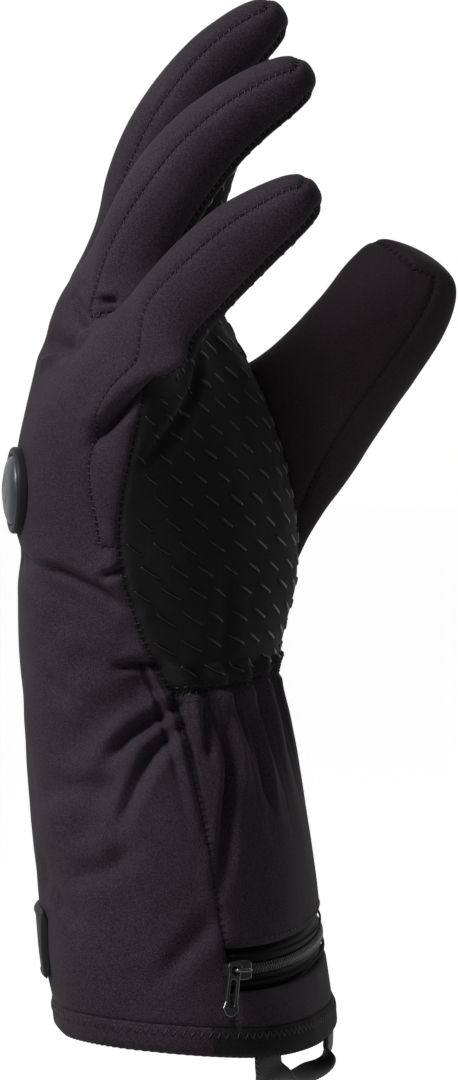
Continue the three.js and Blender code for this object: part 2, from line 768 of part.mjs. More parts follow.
// Softshell panels.
const SOFTSHELL = 0x322e33;
const PALM_CLOTH = 0x201f21;
for (const name of ["back_panel", ...FINGERS.map((finger) => `${finger.name}_side_panel`)])
  addPart(name, panelSolid(shell, name, 0, -WALL), SOFTSHELL, 0.85);
for (const name of ["palm_panel", "thumb_inner_panel", "thumb_outer_panel"])
  addPart(name, panelSolid(shell, name, 0, -WALL), PALM_CLOTH, 0.8);
addPart("cuff_front_panel", panelSolid(shell, "cuff_front_panel", 0, -WALL), SOFTSHELL, 0.85);
addPart("cuff_pocket_panel", panelSolid(shell, "cuff_pocket_panel", 0, -WALL), SOFTSHELL, 0.85);
addPart("hem_band", panelSolid(shell, "hem_band", BAND_PROUD, -WALL), SOFTSHELL, 0.85);

// The zip: its tape is recessed between the two cuff panels, and the chain runs along the tape's middle.
function addZip() {
  const tapeFaces = shell.faces.filter((face) => face.panel === "zip_tape");
  const uses = new Map();
  for (const { corners } of tapeFaces) for (const id of corners) uses.set(id, (uses.get(id) ?? 0) + 1);
  const { rim } = seamSteps(shell, tapeFaces);
  const onRim = new Set(rim.flat());
  const middleRow = [...uses.keys()].filter((id) => !onRim.has(id));
  middleRow.sort((a, b) => shell.points[a].y - shell.points[b].y);
  const tape = panelSolid(shell, "zip_tape", -TAPE_RECESS, -TAPE_RECESS - TAPE_THICKNESS);
  addPart("zip_tape", tape, 0x141415, 0.5);
  const lift = CLEARANCE + CHAIN_THICKNESS / 2 - TAPE_RECESS;
  const frames = middleRow.map((id, i) => {
    const [before, after] = [middleRow[Math.max(0, i - 1)], middleRow[Math.min(middleRow.length - 1, i + 1)]];
    const run = shell.points[after].clone().sub(shell.points[before]).normalize();
    const out = shell.normals[id].clone().addScaledVector(run, -shell.normals[id].dot(run)).normalize();
    const up = run.clone().cross(out).negate().normalize();
    return { point: shell.points[id].clone().addScaledVector(out, lift), run, out, up };
  });
  const bar = ({ point, out, up }) => ({
    point,
    wide: up.clone().multiplyScalar(CHAIN_WIDTH / 2),
    thick: out.clone().multiplyScalar(CHAIN_THICKNESS / 2),
  });
  addPart("zip_chain", strapSolid(frames.map(bar)), 0x0d0d0e, 0.35);
  addSlider(frames[0]);
}

// The slider rides over the chain. The puller hangs on one leg of its bail.
function addSlider({ point, run, out, up }) {
  const place = new THREE.Matrix4().makeBasis(run, up, out);
  const seat = point.clone().addScaledVector(run, -SLIDER_BACK);
  place.setPosition(seat.addScaledVector(out, CHAIN_THICKNESS / 2 + CLEARANCE));
  const outline = new THREE.Shape();
  const [long, wide] = [SLIDER_LENGTH / 2, SLIDER_WIDTH / 2];
  outline.moveTo(-long, -wide * 0.62);
  outline.lineTo(long * 0.3, -wide);
  outline.lineTo(long, -wide * 0.8);
  outline.lineTo(long, wide * 0.8);
  outline.lineTo(long * 0.3, wide);
  outline.lineTo(-long, wide * 0.62);
  const body = new THREE.ExtrudeGeometry(outline, { depth: SLIDER_THICKNESS, bevelEnabled: false });
  const reach = BAIL_LENGTH / 2;
  const top = SLIDER_THICKNESS + BAIL_HEIGHT;
  const arch = new THREE.Shape();
  arch.moveTo(-reach, SLIDER_THICKNESS / 2);
  arch.lineTo(-reach, top - BAIL_BAR);
  arch.lineTo(-reach + BAIL_BAR, top);
  arch.lineTo(reach - BAIL_BAR, top);
  arch.lineTo(reach, top - BAIL_BAR);
  arch.lineTo(reach, SLIDER_THICKNESS / 2);
  arch.lineTo(reach - BAIL_BAR, SLIDER_THICKNESS / 2);
  arch.lineTo(reach - BAIL_BAR, top - BAIL_BAR);
  arch.lineTo(-reach + BAIL_BAR, top - BAIL_BAR);
  arch.lineTo(-reach + BAIL_BAR, SLIDER_THICKNESS / 2);
  const bail = new THREE.ExtrudeGeometry(arch, { depth: BAIL_WIDTH, bevelEnabled: false });
  bail.translate(0, 0, -BAIL_WIDTH / 2);
  bail.rotateX(Math.PI / 2);
  const slider = solidOf(body).add(solidOf(bail));
  addPart("zip_slider", slider.transform(place.elements), 0x101011, 0.25, 0.8);

  const plate = new THREE.Shape();
  const eyeMiddle = -reach + BAIL_BAR / 2;
  const half = PULLER_WIDTH / 2;
  const crown = PULLER_EYE / 2 + PULLER_RIM;
  const foot = crown - PULLER_LENGTH;
  plate.moveTo(-half * 0.7, crown);
  plate.lineTo(-half * 0.85, foot + half);
  plate.lineTo(-half, foot + half * 0.6);
  plate.lineTo(-half * 0.7, foot);
  plate.lineTo(half * 0.7, foot);
  plate.lineTo(half, foot + half * 0.6);
  plate.lineTo(half * 0.85, foot + half);
  plate.lineTo(half * 0.7, crown);
  const eye = new THREE.Path();
  eye.absarc(0, 0, PULLER_EYE / 2, 0, 2 * Math.PI, true);
  plate.holes.push(eye);
  const cut = { depth: PULLER_THICKNESS, bevelEnabled: false, curveSegments: 5 };
  const puller = new THREE.ExtrudeGeometry(plate, cut);
  const slack = (BAIL_HEIGHT - BAIL_BAR - PULLER_THICKNESS) / 2;
  puller.translate(eyeMiddle, 0, SLIDER_THICKNESS + slack);
  addPart("zip_puller", solidOf(puller).transform(place.elements), 0x121213, 0.3, 0.7);
}
addZip();

// The button: a rubber base cut to the back of the hand, with a dome in its raised rim.
function addButton() {
  const outside = vec(-HAND_SET_BACK - KNUCKLE_WIDTH, -BUTTON_OFFSET, BUTTON_HEIGHT);
  const seat = landing(shell, outside, vec(1, 0, 0));
  const side = vec(0, 0, 1).cross(seat.normal).normalize();
  const place = new THREE.Matrix4().makeBasis(side, seat.normal, side.clone().cross(seat.normal));
  place.setPosition(seat.point);
  const radius = BUTTON_DIAMETER / 2;
  const inner = radius - BUTTON_RIM;
  const lathe = (profile) => {
    const points = profile.map(([x, y]) => new THREE.Vector2(x, y));
    return solidOf(new THREE.LatheGeometry(points, 16));
  };
  const floor = BUTTON_RIM_HEIGHT / 2;
  const base = lathe([
    [0, -2 * WALL],
    [radius, -2 * WALL],
    [radius, BUTTON_RIM_HEIGHT * 0.6],
    [radius - BUTTON_RIM / 2, BUTTON_RIM_HEIGHT],
    [inner, BUTTON_RIM_HEIGHT * 0.9],
    [inner, floor],
    [0, floor],
  ]).transform(place.elements);
  const underneath = panelSolid(shell, "back_panel", CLEARANCE, -4 * WALL);
  const [seated] = base.subtract(underneath).decompose();
  addPart("power_button_base", seated, 0x1a1a1d, 0.55);
  const edge = inner - CLEARANCE;
  const bottom = floor + CLEARANCE;
  const rise = BUTTON_RIM_HEIGHT + BUTTON_DOME - bottom;
  const dome = lathe([
    [0, bottom],
    [edge, bottom],
    [edge, bottom + rise * 0.4],
    [edge * 0.9, bottom + rise * 0.66],
    [edge * 0.68, bottom + rise * 0.86],
    [edge * 0.36, bottom + rise * 0.97],
    [0, bottom + rise],
  ]);
  addPart("power_button_dome", dome.transform(place.elements), 0x24252b, 0.45);
}
addButton();

// The patch: the part of a layer over the back of the cuff that lies inside its outline.
function addPatch() {
  const layer = panelSolid(shell, "back_panel", CLEARANCE + PATCH_THICKNESS, CLEARANCE);
  const outline = new THREE.Shape();
  const [left, right] = [-PATCH_OFFSET - PATCH_WIDTH / 2, -PATCH_OFFSET + PATCH_WIDTH / 2];
  const [low, high] = [PATCH_BOTTOM, PATCH_BOTTOM + PATCH_HEIGHT];
  outline.moveTo(left + PATCH_CORNER, low);
  outline.lineTo(right - PATCH_CORNER, low);
  outline.lineTo(right, low + PATCH_CORNER);
  outline.lineTo(right, high - PATCH_CORNER);
  outline.lineTo(right - PATCH_CORNER, high);
  outline.lineTo(left + PATCH_CORNER, high);
  outline.lineTo(left, high - PATCH_CORNER);
  outline.lineTo(left, low + PATCH_CORNER);
  const prism = new THREE.ExtrudeGeometry(outline, { depth: HEM_DEPTH, bevelEnabled: false });
  const upright = new THREE.Matrix4().makeBasis(vec(0, 1, 0), vec(0, 0, 1), vec(1, 0, 0));
  upright.setPosition(vec(-HEM_DEPTH - HAND_SET_BACK * 0.3, 0, 0));
  addPart("back_patch", layer.intersect(solidOf(prism.applyMatrix4(upright))), 0x161617, 0.5);
}
addPatch();

// Where the hem's open edge passes a turn round from the little finger's edge.
function hemPoint(turn) {
  const faces = shell.faces.filter((face) => face.panel === "hem_band");
  const turnOf = (id) => THREE.MathUtils.radToDeg(Math.atan2(-shell.points[id].x, -shell.points[id].y));
  const uses = new Map();
  for (const { corners } of shell.faces) for (const id of corners) uses.set(id, (uses.get(id) ?? 0) + 1);
  for (const { corners } of faces)
    for (let i = 0; i < 4; i++) {
      const [a, b] = [corners[i], corners[(i + 1) % 4]];
      const onEdge = uses.get(a) === 2 && uses.get(b) === 2;
      const [from, to] = [turnOf(a), turnOf(b)];
      if (!onEdge || Math.abs(from - to) > 90 || (turn - from) * (turn - to) > 0) continue;
      const share = (turn - from) / (to - from);
      const normal = shell.normals[a].clone().lerp(shell.normals[b], share).setZ(0).normalize();
      return { point: shell.points[a].clone().lerp(shell.points[b], share), normal };
    }
}

// The hanging loop: webbing that leaves the hem's edge flat at both ends and turns on edge between them.
function addLoop() {
  const ends = LOOP_TURNS.map(hemPoint);
  for (const { point, normal } of ends) {
    point.addScaledVector(normal, (BAND_PROUD - WALL) / 2);
    point.z -= CLEARANCE;
  }
  const chord = ends[1].point.clone().sub(ends[0].point);
  const run = chord.clone().setZ(0).normalize();
  const inward = run.clone().cross(vec(0, 0, 1)).normalize();
  const steps = 16;
  const frames = Array.from({ length: steps + 1 }, (_, i) => {
    const angle = (Math.PI * i) / steps;
    const point = ends[0].point.clone().addScaledVector(chord, (1 - Math.cos(angle)) / 2);
    point.z -= LOOP_DROP * Math.sin(angle) ** LOOP_FULLNESS;
    const flat = vec(0, 0, 1).cross(ends[2 * i < steps ? 0 : 1].normal);
    if (flat.dot(run) < 0) flat.negate();
    const side = 2 * i < steps ? 1 : -1;
    const turned = THREE.MathUtils.smoothstep(Math.sin(angle), ...LOOP_TWIST);
    const travel = vec(0, 0, -Math.cos(angle)).addScaledVector(run, Math.sin(angle)).normalize();
    const wide = flat.multiplyScalar(side).lerp(inward, turned);
    wide.addScaledVector(travel, -wide.dot(travel)).normalize();
    const thick = travel.clone().cross(wide).normalize();
    wide.multiplyScalar(LOOP_WIDTH / 2);
    thick.multiplyScalar(LOOP_THICKNESS / 2);
    return { point, wide, thick };
  });
  addPart("hanging_loop", strapSolid(frames), 0x1b1b1d, 0.7);
}
addLoop();

export default group;
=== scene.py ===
# The looks of a battery-heated softshell glove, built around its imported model.
# Tables and sizes are in millimetres, in the model's frame: fingers up (+Z), palm towards +X and thumb
# towards +Y.
import math

import bpy
import numpy as np
from mathutils import Matrix, Vector
from mathutils.bvhtree import BVHTree
from mathutils.kdtree import KDTree


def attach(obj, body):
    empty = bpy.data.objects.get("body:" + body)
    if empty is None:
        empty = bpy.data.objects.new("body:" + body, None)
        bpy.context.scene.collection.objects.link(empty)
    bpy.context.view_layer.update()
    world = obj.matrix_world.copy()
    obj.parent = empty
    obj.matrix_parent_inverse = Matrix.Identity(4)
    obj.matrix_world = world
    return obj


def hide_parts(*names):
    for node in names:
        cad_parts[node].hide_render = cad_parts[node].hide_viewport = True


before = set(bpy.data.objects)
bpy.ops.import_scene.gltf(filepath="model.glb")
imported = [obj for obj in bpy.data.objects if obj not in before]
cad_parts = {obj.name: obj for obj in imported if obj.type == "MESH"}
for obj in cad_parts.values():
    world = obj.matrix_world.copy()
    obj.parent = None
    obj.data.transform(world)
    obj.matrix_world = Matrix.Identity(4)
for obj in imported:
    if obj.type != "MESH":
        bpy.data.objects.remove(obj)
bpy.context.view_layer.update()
MM = 0.001

# The camera: a long lens a little to the palm's side of the little finger's edge. Angles are in degrees,
# distances in metres, and the shifts are shares of the picture's height.
CAMERA_AZIMUTH = 14
CAMERA_ELEVATION = 3
CAMERA_DISTANCE = 1.2
CAMERA_TARGET = Vector((0, 0, 0.140))
CAMERA_SENSOR = 36
CAMERA_LENS = 144
CAMERA_SHIFT = (32 / 1080, -27 / 1080)


def linked(name, data):
    obj = bpy.data.objects.new(name, data)
    bpy.context.scene.collection.objects.link(obj)
    return obj


def aimed(away):
    """The turn of a camera or light that looks back along a direction."""
    return (-away).to_track_quat("-Z", "Y").to_euler()


def add_camera():
    azimuth, elevation = math.radians(CAMERA_AZIMUTH), math.radians(CAMERA_ELEVATION)
    level = math.cos(elevation)
    away = Vector((math.sin(azimuth) * level, -math.cos(azimuth) * level, math.sin(elevation)))
    data = bpy.data.cameras.new("camera")
    data.sensor_fit = "VERTICAL"
    data.sensor_height = CAMERA_SENSOR
    data.lens = CAMERA_LENS
    data.shift_x, data.shift_y = CAMERA_SHIFT
    camera = linked("camera", data)
    camera.location = CAMERA_TARGET + away * CAMERA_DISTANCE
    camera.rotation_euler = aimed(away)
    bpy.context.scene.camera = camera


add_camera()

# Sizes of the shell.
CUFF_LENGTH = 95
HAND_LENGTH = 103
HEM_WIDTH = 112
HEM_DEPTH = 74
WRIST_WIDTH = 88
WRIST_DEPTH = 68
KNUCKLE_WIDTH = 98
KNUCKLE_DEPTH = 46
HEM_DIP = 5
HAND_SET_BACK = 16
THENAR_SWELL = 12
FINGER_LENGTH = 88
FINGER_WIDTH = 23
FINGER_DEPTH = 24
THUMB_LENGTH = 83.5
THUMB_WIDTH = 36
THUMB_DEPTH = 27
WALL = 2.6
SEAM_GAP = 0.1
FOLD_DEPTH = 3.2
FOLD_WIDTH = 6
GATHER_DEPTH = 1.3
GATHER_REACH = 0.3
BAND_HEIGHT = 5.5
BAND_PROUD = 0.7
ZIP_HEIGHT = 20
ZIP_BAND = 8
TAPE_RECESS = 1.1
TAPE_THICKNESS = 0.8
CHAIN_WIDTH = 3.2
CHAIN_THICKNESS = 1.3
SLIDER_LENGTH = 8
SLIDER_WIDTH = 5.4
SLIDER_THICKNESS = 2.4
BAIL_HEIGHT = 3.4
BAIL_LENGTH = 6
BAIL_BAR = 1.1
PULLER_LENGTH = 15
PULLER_WIDTH = 5
PULLER_THICKNESS = 1.3
PULLER_EYE = 2.6
PULLER_RIM = 1.2
BUTTON_DIAMETER = 24
BUTTON_HEIGHT = 147
BUTTON_OFFSET = 26
BUTTON_RIM = 2.2
BUTTON_RIM_HEIGHT = 1.5
BUTTON_DOME = 1.9
PATCH_WIDTH = 44
PATCH_HEIGHT = 19
PATCH_THICKNESS = 1.5
PATCH_CORNER = 2
PATCH_BOTTOM = 14
PATCH_OFFSET = 16
LOOP_WIDTH = 10
LOOP_THICKNESS = 1.4
LOOP_DROP = 9.5
LOOP_FULLNESS = 0.6
LOOP_TWIST = (0.2, 0.95)
LOOP_TURNS = (-39, -100)
CLEARANCE = 0.3
SHELL_LENGTH = CUFF_LENGTH + HAND_LENGTH

# Rings of the cuff and hand, from the hem up: name, zone and share of the zone's length. Then come shares of
# the zone's change of width and depth, how far the ring is set back and swells, its angles at the back and the
# palm in degrees, and how far it rises, dips, draws in between the fingers and arches.
ZIP_LOW = ZIP_HEIGHT / CUFF_LENGTH
ZIP_TOP = (ZIP_HEIGHT + ZIP_BAND) / CUFF_LENGTH
RING_KEYS = ("width", "depth", "set", "swell", "back", "palm", "rise", "dip", "valley", "arch")
RING_ROWS = [
    ("hem", "cuff", 0, (0, 0, 0, 0, 18, 39, 0, 1, 0, 0)),
    ("band", "cuff", BAND_HEIGHT / CUFF_LENGTH, (0, 0, 0.03, 0, 18, 39, 0, 1, 0, 0)),
    ("zip_low", "cuff", ZIP_LOW, (0.05, 0, 0.2, 0, 18, 41, 0.06, 1, 0, 0)),
    ("zip_high", "cuff", ZIP_TOP, (0.1, 0, 0.27, 0, 18, 41, 0.08, 1, 0, 0)),
    ("cuff_mid", "cuff", 0.55, (0.3, 0.02, 0.43, 0, 18, 37, 0.06, 0.4, 0, 0)),
    ("cuff_top", "cuff", 0.8, (0.7, 0.3, 0.66, 0.1, 18, 33, 0, 0, 0, 0)),
    ("gather", "cuff", 0.93, (0.95, 0.8, 0.8, 0.1, 18, 31, 0, 0, 0, 0)),
    ("wrist", "hand", 0, (0, 0, 0.87, 0, 16, 30, 0.08, 0, 0, 0)),
    ("heel", "hand", 0.1, (0.1, -0.1, 0.86, 0.3, 15, 19, 0.05, 0, 0, 0)),
    ("thumb_low", "hand", 0.22, (0.25, -0.2, 0.8, 0.8, 5, 7, 0, 0, 0, 0)),
    ("point", "hand", 0.37, (0.45, -0.2, 0.84, 1, -5, 0.8, 0, 0, 0, 0)),
    ("palm_low", "hand", 0.51, (0.7, -0.12, 0.93, 1, 2, 10, 0, 0, 0.02, 0)),
    ("palm_mid", "hand", 0.66, (0.9, 0.1, 0.95, 0.9, 6, 13, 0, 0, 0.05, 0.15)),
    ("thumb_high", "hand", 0.81, (1, 0.55, 0.97, 0.65, 8, 14, 0, 0, 0.12, 0.4)),
    ("knuckle", "hand", 0.91, (1.02, 0.95, 0.96, 0.3, 10, 15, 0, 0, 0.25, 0.7)),
    ("crotch", "hand", 0.98, (1.03, 1.05, 0.94, 0, 13, 17, 0, 0, 0.42, 1)),
]
RINGS = [(name, zone, at, dict(zip(RING_KEYS, values))) for name, zone, at, values in RING_ROWS]
RING_NAMES = [name for name, *_ in RINGS]
THUMB_SIDE_BACK = 20
THUMB_SIDE_PALM = 24
CROTCH_ARCH = [-0.13, -0.035, 0.085, 0.075, -0.03]
KNUCKLE_ARCH = [0.42, 0.05, -0.15, -0.11, 0]
SECTION_POWER = 0.92
LEVEL_SPACING = 0.35
COLUMNS = 20
LITTLE_BACK, INDEX_BACK, INDEX_PALM, LITTLE_PALM = 1, 9, 11, 19
THUMB_COLUMNS = (10, 12)

# Fingers: name, shares of length, width and depth, then lean at base and tip, splay and roll in degrees. The
# rings of a digit give shares of its length, width and depth.
FINGERS = [
    ("little", 0.71, 0.92, 0.98, (33, 64), -4, 22),
    ("ring", 0.96, 0.98, 1, (10, 70), -1, 28),
    ("middle", 1.02, 1, 1, (-4, 62), 1, 28),
    ("index", 0.86, 1, 0.98, (0, 42), 3, -6),
]
FINGER_RINGS = [(0.13, 0.98, 0.98), (0.34, 1, 1), (0.56, 0.98, 0.93), (0.77, 0.93, 0.81)]
FINGER_RINGS += [(0.93, 0.82, 0.66), (1, 0.54, 0.42)]
FINGER_SIDES = 8
TIP_CROWN = 0.04
THUMB_LEAN = (46, 30)
THUMB_SPLAY = (14, 6)
THUMB_RINGS = [(0.18, 1.36, 0.88), (0.42, 1.05, 1.04), (0.64, 0.99, 0.99), (0.84, 0.98, 0.88)]
THUMB_RINGS += [(0.97, 0.76, 0.66)]
THUMB_SIDES = 12
THUMB_STRIP = 2
THUMB_STRIP_ANGLE = 50

# Folds: turns in degrees round from the little finger's edge, heights as shares of the shell's length, then
# shares of FOLD_WIDTH and FOLD_DEPTH.
FOLDS = [
    ((-16, 14), (0.475, 0.4), 1, 1),
    ((-16, 14), (0.43, 0.29), 0.9, 0.9),
    ((8, 36), (0.258, 0.215), 1.2, 0.5),
    ((10, 42), (0.34, 0.33), 1.3, 0.35),
    ((56, -2), (0.65, 0.59), 0.8, 0.7),
    ((16, -8), (0.57, 0.548), 0.8, 0.6),
    ((8, -16), (0.512, 0.505), 0.8, 0.7),
    ((120, 70), (0.6, 0.66), 1, 0.5),
    ((130, 84), (0.42, 0.47), 1.1, 0.6),
    ((0, -17), (0.828, 0.889), 0.8, 1),
]
RADIUS = (HEM_WIDTH + WRIST_WIDTH) / 4

# Creases as lines on the shell: points, half width, depth and how far the cloth above it overlaps. The names
# below scale their widths and depths, and place the ridges that rise beside them.
CREASES = [
    ([(-17, -48, 163), (-11, -49, 168), (-5, -49, 173), (1, -47, 177)], 2.4, 1.6, 2.2),
    ([(-38, -22, 181), (-29, -30, 186), (-23, -31, 191)], 1.8, -0.7, 0),
    ([(-29, -20, 200), (-25, -25, 195), (-22, -29, 191)], 1.6, 1.2, 0.4),
    ([(-39, -15, 188), (-32, -26, 187), (-25, -33, 187)], 3.2, 1.4, 0),
    ([(-22, -25, 199), (-16, -26, 199)], 1.3, 1.3, 0.3),
    ([(-43, -28, 129), (-28, -42, 126), (-15, -46, 121), (-6, -45, 116)], 2.2, 1.3, 0.5),
    ([(-15, -46, 125), (-9, -46, 127)], 1.5, 1.3, 0.2),
    ([(-12, -44, 100), (-6, -43, 101), (0, -41, 101)], 1.7, 1.5, 0.3),
    ([(-33, -38, 97), (-26, -42, 91)], 3, 0.7, 0),
    ([(5, -38, 91), (-1, -42, 87), (-8, -45, 83), (-15, -47, 76)], 2.6, 1.8, 0.8),
    ([(5, -40, 85), (-1, -45, 78), (-6, -48, 69), (-10, -50, 58)], 2.6, 1.8, 0.5),
    ([(-36, -36, 65), (-22, -46, 68), (-13, -48, 69)], 4.5, 0.9, 0),
    ([(-6, -51, 52), (-13, -51, 47), (-24, -47, 44)], 3.5, 1.3, 0.3),
    ([(-30, -42, 37), (-20, -50, 33)], 3.5, 0.8, 0),
    ([(4, -53, 19), (10, -49, 27), (16, -44, 34)], 3.5, 0.8, 0),
    ([(16, -27, 87), (18, -31, 73), (18, -35, 64), (17, -42, 42)], 2.6, 1.8, 0),
    ([(20, -17, 88), (23, -18, 76), (25, -19, 62)], 2.4, 1.2, 0),
    ([(11, -34, 90), (13, -37, 76)], 2, 1.2, 0),
    ([(5, -16, 185), (5, -26, 174), (4, -34, 168), (1, -40, 162), (-4, -45, 154)], 2.4, 0.7, 0),
    ([(15, -24, 126), (16, -24, 114), (15, -27, 101)], 4, 0.5, 0),
]
CREASE_NARROW = 0.75
CREASE_GAIN = 2.1
CREASE_REACH = 45
RIDGE_GAIN = 0.35
RIDGE_PLACE = 2.2
LIP_GAIN = 1.5
LIP_REACH = 3.2
LINING_SHARE = 0.9

# Valleys between the gathers, with lesser ones between these, and the elastic's uneven line above them. The
# fade, place and width are shares of the gathers' reach.
VALLEY_DEPTH = 1.7
LESSER_VALLEY = 0.5
VALLEY_FADE = 1.6
ELASTIC_DEPTH = 0.9
ELASTIC_PLACE = 0.02
ELASTIC_WIDTH = 0.05
ELASTIC_LUMP = 3.1

# Sewn seams: a groove with puffed cloth and puckers beside it. The rest of the cloth is a little slack.
GROOVE_DEPTH = 0.6
GROOVE_WIDTH = 0.9
PUFF_HEIGHT = 0.22
PUFF_WIDTH = 2.4
PUFF_PLACE = 2.6
PUCKER_DEPTH = 0.16
PUCKER_REACH = 2.5
PUCKER_SIZES = (2.6, 1.7)
SLACK_DEPTH = 0.5
SLACK_SIZE = 17
RIPPLE_DEPTH = 0.14
RIPPLE_SIZE = 7
EDGE_GROOVE_DEPTH = 0.5
ZIP_GROOVE_WIDTH = 0.8
HEM_GROOVE_WIDTH = 0.9
MOUTH_ROUND = 1.5
BAND_LAP = 0.9

# Threads: bars of six sides. The rows of running stitches give two panels, then the row's distance up from
# their seam, its pitch and the stitch's length. The chevrons of the hem give two distances below its edge and
# their pitch.
BAR_SIDES = 6
THREAD_RADIUS = 0.19
STITCH_SIZES = THREAD_RADIUS * np.array([0.4, 0.95, 1, 0.95, 0.4])
STITCH_PITCH = 1.9
STITCH_REACH = 0.8
STITCH_SLANT = 0.25
STITCH_ROWS = [
    ("zip_tape", "cuff_front_panel", 1.7, 2.3, 1.6),
    ("cuff_front_panel", "palm_panel", -2.2, 2.2, 1.5),
    ("cuff_front_panel", "palm_panel", 2.4, 2.2, 1.5),
]
ZIGZAG = (0.9, 2.4, 1.2)

# The raised silicone dashes of the palm, laid out on the flat cloth in a brick pattern.
DASH_LENGTH = 5.8
DASH_WIDTH = 0.9
DASH_HEIGHT = 0.5
FINGER_DASH_HEIGHT = 0.22
DASH_PITCH = (8.6, 6.3)
DASH_SLANT = 36
DASH_CLEAR = 1.3
DASH_DRIFT = 0.22
DASH_STEPS = 9

# Fine parts of the zip, button, patch and loop.
TAPE_TUCK = 2.4
TAPE_WAVE = 0.15
COIL_PITCH = 1.15
COIL_RADIUS = 0.42
PIPING_RADIUS = (0.5, 0.35)
PIPING_INSET = (0.3, 0.4)
PIPING_DEPTH = 0.35
BAIL_STEPS = 17
PULLER_TILT = -9
PULLER_SLOT = 0.85
LATHE_STEPS = 64
MARK_RADIUS = 3.4
MARK_WIDTH = 0.32
MARK_HEIGHT = 0.14
PATCH_GRID = (72, 32)
PATCH_BORDER = 1.5
PATCH_BORDER_WIDTH = 0.7
PATCH_BORDER_HEIGHT = 0.35
PATCH_ROUND = 0.9
PATCH_SUNK = 0.45
LOOP_STEPS = 60
LOOP_EDGE = 0.35

# Cloth shader: pitches of the weave and of the webbing's ribs, and the scales of its flecks and clouds.
WEAVE_PITCH = 0.62
RIB_PITCH = 1.1
FLECK_SCALE = 2600
CLOUD_SCALE = 28

# The studio, in metres: a floor that shines only far behind the glove, a backdrop that grows bright there, and
# lights with their places, sizes and power in watts.
FLOOR_LEVEL = -0.32
FLOOR_FAR = 9
FLOOR_NEAR = -1.2
FLOOR_TONE = 0.85
GLOW_START = 0.6
GLOW_FULL = 1.6
GLOW_STRENGTH = 0.75
BACKDROP_TURN = 104
BACKDROP_RISE = (0.35, 0.8)
FRONT_LIGHT = 0.1
LIGHTS = [("key", (-0.5, -0.6, 0.85), 0.4, 16), ("fill", (0.5, -1.5, 0.5), 1.2, 2.6)]

PANELS = [
    "hem_band",
    "cuff_pocket_panel",
    "zip_tape",
    "cuff_front_panel",
    "palm_panel",
    "little_side_panel",
    "index_side_panel",
    "back_panel",
    "ring_side_panel",
    "middle_side_panel",
    "thumb_inner_panel",
    "thumb_outer_panel",
]


def between(a, b, t):
    return a + (b - a) * t


def smoothstep(value, low, high):
    t = np.clip((value - low) / (high - low), 0, 1)
    return t * t * (3 - 2 * t)


def beside(away, width):
    """One on a line, falling to nothing over about two widths on either side of it."""
    return np.exp(-((away / width) ** 2))


def cage_growth(sides):
    return 3 / (2 + math.cos(2 * math.pi / sides))


def along(values, place):
    low = min(math.floor(place), len(values) - 2)
    return between(values[low], values[low + 1], place - low)


def boundary_place(column):
    if column == 0:
        return 0
    if column == COLUMNS // 2:
        return 4
    return (column - LITTLE_BACK) / 2 if column < COLUMNS // 2 else (LITTLE_PALM - column) / 2


def column_angle(row, column):
    level = between(LEVEL_SPACING, 1, row["arch"])

    def spread(start, end, share):
        inside = max(start, 0)
        level_angle = math.acos(between(math.cos(inside), math.cos(end), share))
        return between(between(start, end, share), level_angle + (start - inside) * (1 - share), level)

    def back(share):
        return spread(math.radians(row["back"]), math.pi - math.radians(THUMB_SIDE_BACK), share)

    def palm(share):
        return 2 * math.pi - spread(math.pi - math.radians(THUMB_SIDE_PALM), math.radians(row["palm"]), share)

    if column == 0:
        return (back(0) + palm(1) - 2 * math.pi) / 2
    if column == COLUMNS // 2:
        return (back(1) + palm(0)) / 2
    if column < COLUMNS // 2:
        return back((column - LITTLE_BACK) / (INDEX_BACK - LITTLE_BACK))
    return palm((column - INDEX_PALM) / (LITTLE_PALM - INDEX_PALM))


def rounded(value):
    return math.copysign(abs(value) ** SECTION_POWER, value)


def ring_height(zone, at):
    return CUFF_LENGTH * at if zone == "cuff" else CUFF_LENGTH + HAND_LENGTH * at


def ring_point(zone, at, row, column):
    growth = cage_growth(COLUMNS) / 2
    cuff = zone == "cuff"
    widths = (HEM_WIDTH, WRIST_WIDTH) if cuff else (WRIST_WIDTH, KNUCKLE_WIDTH)
    depths = (HEM_DEPTH, WRIST_DEPTH) if cuff else (WRIST_DEPTH, KNUCKLE_DEPTH)
    half_width = growth * between(*widths, row["width"])
    half_depth = growth * between(*depths, row["depth"])
    angle = column_angle(row, column)
    place = boundary_place(column)
    across = -rounded(math.cos(angle))
    drawn_in = 1 - row["valley"] if column % 2 == 1 and 0 < place < 4 else 1
    swell = THENAR_SWELL * row["swell"] * across if math.sin(angle) < 0 else 0
    arch = row["arch"]
    x = -HAND_SET_BACK * row["set"] - (half_depth + swell) * rounded(math.sin(angle)) * drawn_in
    dip = HEM_DIP * row["dip"] * max(0, -math.sin(angle))
    lift = HAND_LENGTH * arch * along(CROTCH_ARCH, place) + CUFF_LENGTH * row["rise"] * across / 2 - dip
    x += KNUCKLE_DEPTH * arch * along(KNUCKLE_ARCH, place)
    return np.array([x, half_width * across, ring_height(zone, at) + lift])


def hand_panel(u, v):
    ring = RING_NAMES.index
    if THUMB_COLUMNS[0] <= u < THUMB_COLUMNS[1] and ring("thumb_low") <= v < ring("thumb_high"):
        return None
    if v < ring("band"):
        return "hem_band"
    if INDEX_PALM <= u < LITTLE_PALM:
        if v < ring("zip_low"):
            return "cuff_pocket_panel"
        if v < ring("zip_high"):
            return "zip_tape"
        return "cuff_front_panel" if v < ring("wrist") else "palm_panel"
    if (u == LITTLE_PALM or u < LITTLE_BACK) and v >= ring("point"):
        return "little_side_panel"
    if INDEX_BACK <= u < INDEX_PALM and v >= ring("thumb_high"):
        return "index_side_panel"
    return "back_panel"


def flat_quad(column, step, low, high):
    """A quad's corners on the flat cloth."""
    left, right = column * step, (column + 1) * step
    return [(left, low), (left, high), (right, high), (right, low)]


